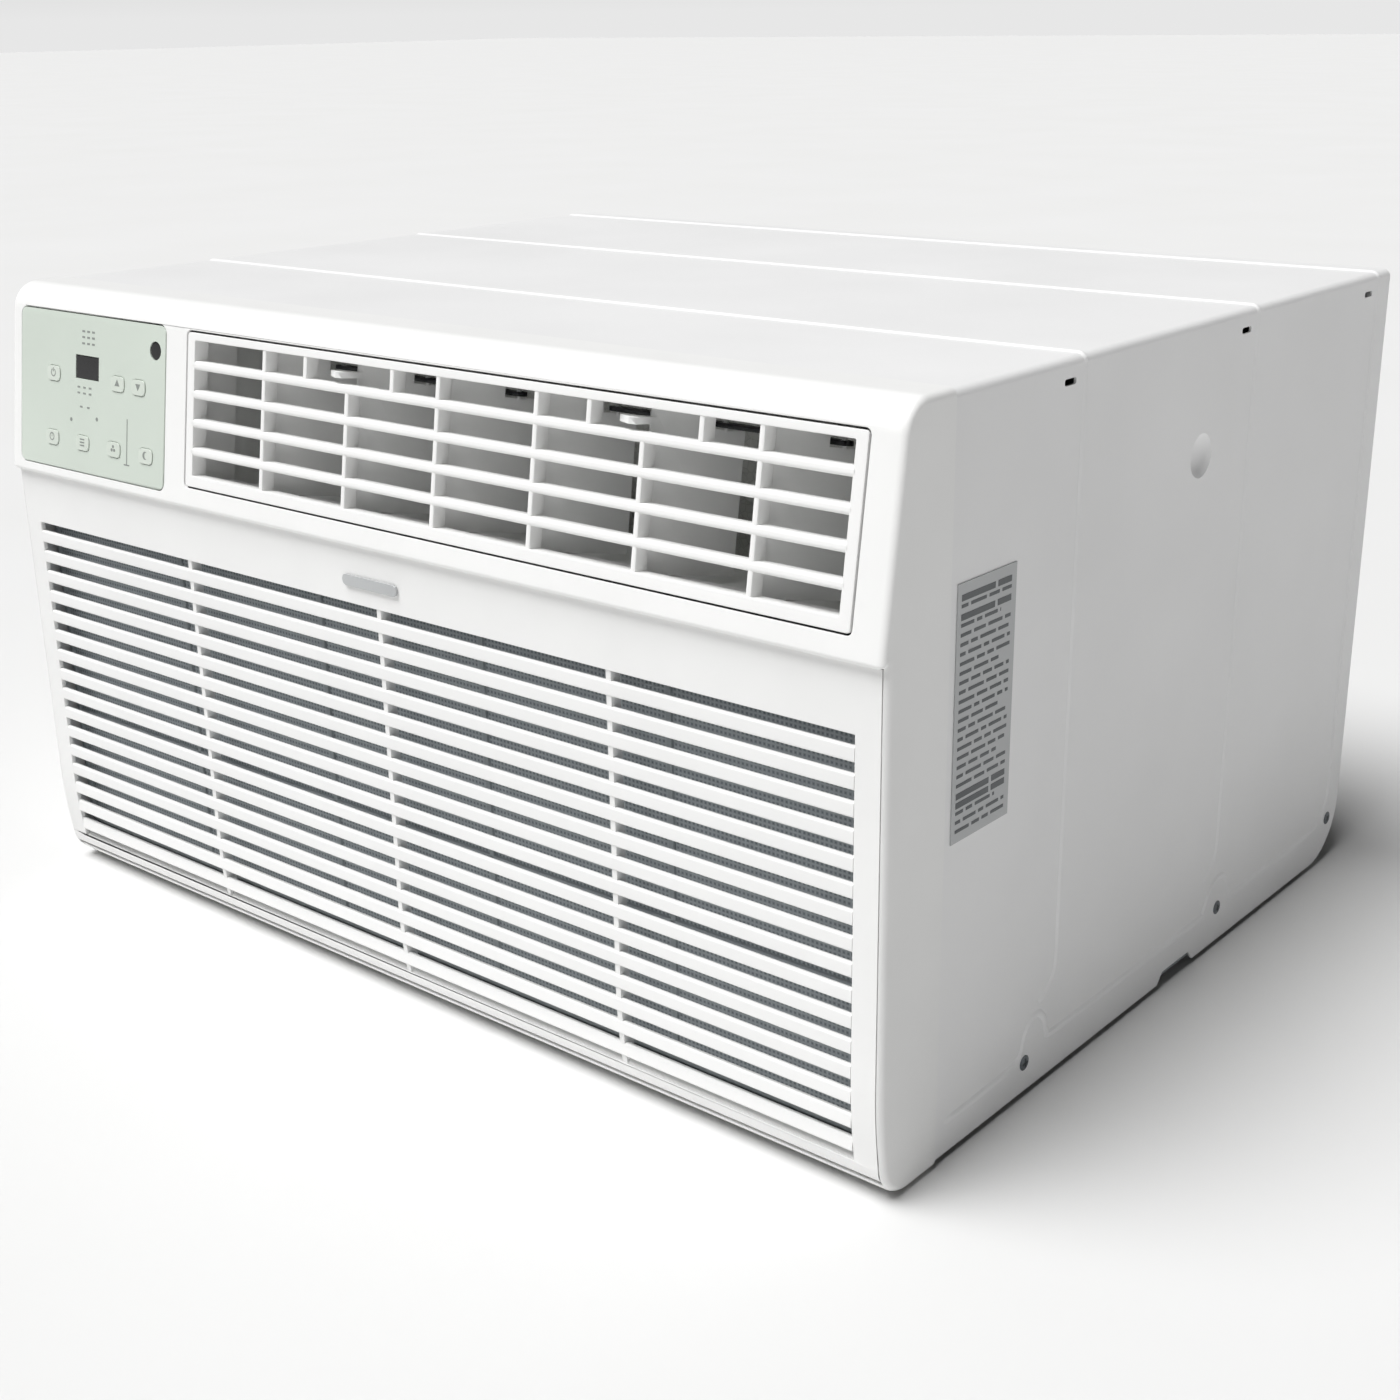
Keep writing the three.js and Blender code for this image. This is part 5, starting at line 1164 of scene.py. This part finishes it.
def build_control_plate():
    eased_copy("control_plate", "control_overlay", overlay, "chassis", "control_film", 0)
    eased_copy("display_window", "display_lens", smoked_window, "chassis", "dark_window", LENS_EASE)
    eased_copy("infrared_window", "receiver_lens", smoked_window, "chassis", "dark_window", LENS_EASE)
    marks = [arc(place, LAMP_RADIUS, 0, 340, 16) for place in LAMP_PLACES]
    marks += [bar_outline(SCALE_X, *SCALE_LINE), bar_outline(SCALE_X, *SCALE_FOOT)]
    for middle, shifts, heights, width, height in (UNIT_DOTS, MODE_DOTS, TIMER_DOTS):
        marks += [bar_outline(middle + shift, z, width, height) for shift in shifts for z in heights]
    mesh = joined([flat_mark(outline, 0) for outline in marks])
    finish_piece("control_print", mesh, printed_ink, "chassis")


# ---- coils and rear guard

FIN_PITCH = 2.4
FIN_THICKNESS = 0.35
FIN_SET_IN = (2, 0.4, 3)
END_PLATE = 1.5
END_PLATE_EASE = 0.3
TUBE_RADIUS = 4
TUBE_SIDES = 12
TUBE_PAST = 0.5
BEND_RADIUS = 9
BEND_STEPS = 12
BEND_PAIRS = 4
BEND_FROM_FACE = 13
EVAPORATOR_X = (-289, 263)
CONDENSER_X = (-278.7, 278.7)


def return_bend(x, y, z, side):
    """Half a ring of tube between two levels, outside an end plate."""
    rings = []
    section = arc((0, 0), TUBE_RADIUS, 0, 360, TUBE_SIDES)[:-1]
    for i in range(BEND_STEPS + 1):
        turn = math.radians(180 * i / BEND_STEPS - 90)
        out = Vector((side * math.cos(turn), 0, math.sin(turn)))
        centre = Vector((x, y, z)) + out * BEND_RADIUS
        rings.append([tuple(centre + out * u + Vector((0, v, 0))) for u, v in section])
    return loft(rings)


def build_coil(node, name, bend_y, left, right):
    """Fins on tubes between two end plates, with return bends outside them."""
    low, high = span(node)
    side_gap, face_gap, end_gap = FIN_SET_IN
    fin = box_mesh((left + side_gap, left + side_gap + FIN_THICKNESS), (low.y + face_gap, high.y - face_gap),
                   (low.z + end_gap, high.z - end_gap))
    count = int((right - left - 2 * side_gap) / FIN_PITCH) + 1
    fins = in_a_row(fin, count, (FIN_PITCH, 0, 0), fin_foil)
    finish_piece(f"{name}_fins", fins, fin_foil, "chassis", (node,))
    plates = joined([box_mesh((x, x + END_PLATE), (low.y, high.y), (low.z, high.z))
                     for x in (left, right - END_PLATE)])
    plates = broken_edges(plates, END_PLATE_EASE)
    finish_piece(f"{name}_plates", plates, zinc_sheet, "chassis")
    gap = (high.z - low.z - 4 * BEND_RADIUS) / BEND_PAIRS
    straight = [(TUBE_RADIUS, left - TUBE_PAST), (TUBE_RADIUS, right + TUBE_PAST)]
    tubes = []
    for i in range(BEND_PAIRS):
        level = low.z + 2 * BEND_RADIUS + (i + 0.5) * gap
        tubes += [return_bend(x, bend_y, level, side) for side, x in ((-1, left), (1, right))]
        for up in (-BEND_RADIUS, BEND_RADIUS):
            tubes.append(turned("x", straight, (bend_y, level + up), TUBE_SIDES))
    finish_piece(f"{name}_tubes", joined(tubes), copper_tube, "chassis")


GUARD_BAR = 2.4
GUARD_RIM = 14
GUARD_RADIUS = 10
GUARD_COLUMNS = 5
GUARD_ROWS = 3
GUARD_EASE = 0.6
STIFF_BAR = 3.6
BAR_SINK = 0.2
WIRE_PITCH = 9.5
WIRE_WIDTH = 1.6
WIRE_AHEAD = (2.2, 0.6)
WIRE_EASE = 0.4


def build_rear_guard():
    """Moulded guard: a skirt, a flat rim, stiff bars between its fields, and fine upright bars."""
    low, high = span("rear_guard")
    outer = inset_rectangle(low, high, 0, GUARD_RADIUS)
    rim = inset_rectangle(low, high, GUARD_RIM, radius=3)
    skirt = inset_rectangle(low, high, GUARD_BAR, radius=8)
    parts = [broken_edges(ring_prism(outer, rim, (high.y - GUARD_BAR, high.y)), GUARD_EASE),
             ring_prism(outer, skirt, (low.y, high.y - GUARD_BAR / 2))]
    x, z = (low.x + GUARD_RIM, high.x - GUARD_RIM), (low.z + GUARD_RIM, high.z - GUARD_RIM)
    bar_y = (high.y - GUARD_BAR, high.y - BAR_SINK)
    parts += split_bars(x, z, GUARD_COLUMNS, GUARD_ROWS, STIFF_BAR, bar_y, 1, GUARD_EASE)
    wire = eased_box((x[0] + WIRE_PITCH, x[0] + WIRE_PITCH + WIRE_WIDTH),
                     [high.y - ahead for ahead in WIRE_AHEAD], (z[0] - 1, z[1] + 1), WIRE_EASE)
    count = int((x[1] - x[0]) / WIRE_PITCH) - 1
    parts.append(in_a_row(wire, count, (WIRE_PITCH, 0, 0), cabinet_coat))
    finish_piece("guard_frame", joined(parts), cabinet_coat, "chassis", ("rear_guard",))


# ---- motor, compressor and capacitor

MOTOR_CAP = 14
MOTOR_NOSE = 18
MOTOR_BORE = 6.4
MOTOR_SEAM = 1.2
SEAM_FLANKS = (3, 2)
CAN_RADIUS = 56
CAN_FOOT = 14
CAN_EASE = 12
CAN_DOME = 26
CAN_SEAM = 1.6
SEAM_BELOW_DOME = 16
WELD_FLANKS = (4, 2)
FOOT_REACH = 82
FOOT_PAST = 11
FOOT_WIDTH = 28
FOOT_SHEET = 3
FOOT_HOLE = 4
FOOT_EASE = 0.5
FOOT_TURNS = (90, 210, 330)
LID_SINK = 1.6
LID_RIM = 1.2
GROOVE_DEPTH = 1
GROOVE_BELOW_LID = (6, 5, 4, 3)
FOOT_CHAMFER = 2
SHELL_SIDES = 64


def turns(step, first, last):
    """Angles in radians from first to last step, both counted."""
    return [math.radians(step * i) for i in range(first, last + 1)]


def build_fan_motor():
    """Drawn steel motor shell: domed ends with eased shoulders and a rolled seam round the middle."""
    low, high = span("fan_motor")
    centre = ((low.x + high.x) / 2, (low.z + high.z) / 2)
    radius = (high.x - low.x) / 2
    middle = (low.y + high.y) / 2
    end = [(MOTOR_BORE, 0), (MOTOR_NOSE, 0)]
    end += [(radius - MOTOR_CAP + MOTOR_CAP * math.sin(t), MOTOR_CAP - MOTOR_CAP * math.cos(t))
            for t in turns(15, 0, 6)]
    outer, inner = SEAM_FLANKS
    slim = radius - MOTOR_SEAM
    seam = [(radius, middle - outer), (slim, middle - inner), (slim, middle + inner),
            (radius, middle + outer)]
    profile = [(r, low.y + y) for r, y in end] + seam + [(r, high.y - y) for r, y in reversed(end)]
    mesh = turned("y", profile, centre, SHELL_SIDES, looped=True)
    finish_piece("motor_body", mesh, plated_steel, "chassis", ("fan_motor",))


def build_compressor():
    """Welded compressor shell with a domed crown and a weld seam, on three pressed feet."""
    low, high = span("compressor")
    foot_end = FOOT_REACH + FOOT_PAST
    centre = ((low.x + high.x) / 2, high.y - foot_end)
    base = low.z
    slim = CAN_RADIUS - CAN_SEAM
    profile = [(TIP, base), (CAN_RADIUS - CAN_FOOT, base)]
    profile += [(CAN_RADIUS - CAN_EASE + CAN_EASE * math.sin(t), base + CAN_EASE - CAN_EASE * math.cos(t))
                for t in turns(15, 1, 6)]
    seam = high.z - CAN_DOME - SEAM_BELOW_DOME
    outer, inner = WELD_FLANKS
    profile += [(slim, seam - outer), (CAN_RADIUS, seam - inner), (CAN_RADIUS, seam + inner),
                (slim, seam + outer)]
    profile += [(slim * math.cos(t), high.z - CAN_DOME + CAN_DOME * math.sin(t)) for t in turns(10, 0, 8)]
    profile.append((TIP, high.z))
    parts = [turned("z", profile, centre, SHELL_SIDES)]
    for turn in FOOT_TURNS:
        foot = eased_box((0, foot_end), about(0, FOOT_WIDTH), (base, base + FOOT_SHEET), FOOT_EASE)
        hole = turned("z", [(FOOT_HOLE, base - 1), (FOOT_HOLE, base + FOOT_SHEET + 1)], (FOOT_REACH, 0))
        foot = cut_away(foot, [hole])
        foot.transform(Matrix.Translation((*centre, 0)) @ Matrix.Rotation(math.radians(turn), 4, "Z"))
        parts.append(foot)
    finish_piece("compressor_can", joined(parts), compressor_coat, "chassis", ("compressor",))


def build_capacitor():
    """Drawn aluminium can with a rolled rim under its lid."""
    low, high = span("run_capacitor")
    radius = (high.x - low.x) / 2
    centre = ((low.x + high.x) / 2, (low.y + high.y) / 2)
    lid = high.z - LID_SINK
    slim = radius - GROOVE_DEPTH
    foot, deep_foot, deep_head, head = (high.z - drop for drop in GROOVE_BELOW_LID)
    profile = [(TIP, low.z), (radius - FOOT_CHAMFER, low.z), (radius, low.z + FOOT_CHAMFER), (radius, foot),
               (slim, deep_foot), (slim, deep_head), (radius, head), (radius, high.z),
               (radius - LID_RIM, high.z), (radius - LID_RIM, lid), (TIP, lid)]
    mesh = turned("z", profile, centre, SHELL_SIDES)
    finish_piece("capacitor_can", mesh, can_aluminium, "chassis", ("run_capacitor",))


# ---- pieces that keep the frame's shape

METAL_EASE = 0.5
CAP_EASE = 0.8
BOARD_EASE = 0.2
EASED_PIECES = [
    (badge_abs, "grille", "badge_plastic", LENS_EASE, {"badge": "badge_plate"}),
    (inner_abs, "chassis", "inner_plastic", 0, {"discharge_duct": "duct_liner"}),
    (scroll_foam, "chassis", "foam", 0, {"blower_housing": "blower_scroll", "drain_tray": "drain_pan_foam"}),
    (zinc_sheet, "chassis", "galvanised_steel", 0, {
        "bulkhead": "bulkhead_sheet", "base_pan": "base_pan_sheet", "motor_bracket": "motor_stand",
        "control_box": "electrics_box"}),
    (black_abs, "chassis", "black_plastic", 0, {"fan_shroud": "shroud_moulding"}),
    (black_abs, "rotor", "black_plastic", 0, {"blower_wheel": "blower_rotor", "condenser_fan": "axial_fan"}),
    (plated_steel, "rotor", "steel", METAL_EASE, {"motor_shaft": "double_shaft"}),
    (black_abs, "chassis", "black_plastic", CAP_EASE, {"terminal_cover": "terminal_cap"}),
    (compressor_coat, "chassis", "black_paint", 0, {"accumulator": "accumulator_can"}),
    (copper_tube, "chassis", "copper_pipe", 0, {
        "suction_pipe": "suction_line", "discharge_pipe": "discharge_line", "liquid_line": "liquid_tube",
        "capillary_tube": "capillary_line"}),
    (copper_tube, "chassis", "copper_pipe", CAP_EASE, {"filter_drier": "drier_can"}),
    (board_laminate, "chassis", "circuit_board", BOARD_EASE, {"control_board": "circuit_board"}),
    (grommet_rubber, "chassis", "rubber", CAP_EASE, {
        f"compressor_grommet_{i}": f"grommet_rubber_{i}" for i in (1, 2, 3)}),
]


def build_eased_pieces():
    for material, body, slot, ease, names in EASED_PIECES:
        for node, name in names.items():
            eased_copy(node, name, material, body, slot, ease)


def build_vanes():
    for side in ("left", "right"):
        for i in (1, 2, 3):
            node = f"{side}_vane_{i}"
            eased_copy(node, f"{node}_blade", vane_abs, node, "casing_white_plastic", 0)
        eased_copy(f"{side}_tie_bar", f"{side}_tie_strip", black_abs, f"{side}_tie_bar", "black_plastic", 0)


def build_floor():
    size = FLOOR_SIZE / 2 / MM
    corners = [(-size, -size, 0), (size, -size, 0), (size, size, 0), (-size, size, 0)]
    floor = mesh_from(corners, [(0, 1, 2, 3)])
    floor.transform(Matrix.Scale(MM, 4))
    floor.materials.append(studio_paper)
    placed("studio_floor", floor)


build_camera()
build_light()
build_floor()
build_front_panel()
build_intake_grille()
build_filter()
build_louvre()
build_cabinet()
build_casing_screws()
build_rating_label()
build_control_plate()
build_buttons()
build_vanes()
build_coil("evaporator_coil", "evaporator", span("evaporator_coil")[0].y + BEND_FROM_FACE, *EVAPORATOR_X)
build_coil("condenser_coil", "condenser", span("condenser_coil")[1].y - BEND_FROM_FACE, *CONDENSER_X)
build_rear_guard()
build_fan_motor()
build_compressor()
build_capacitor()
build_eased_pieces()
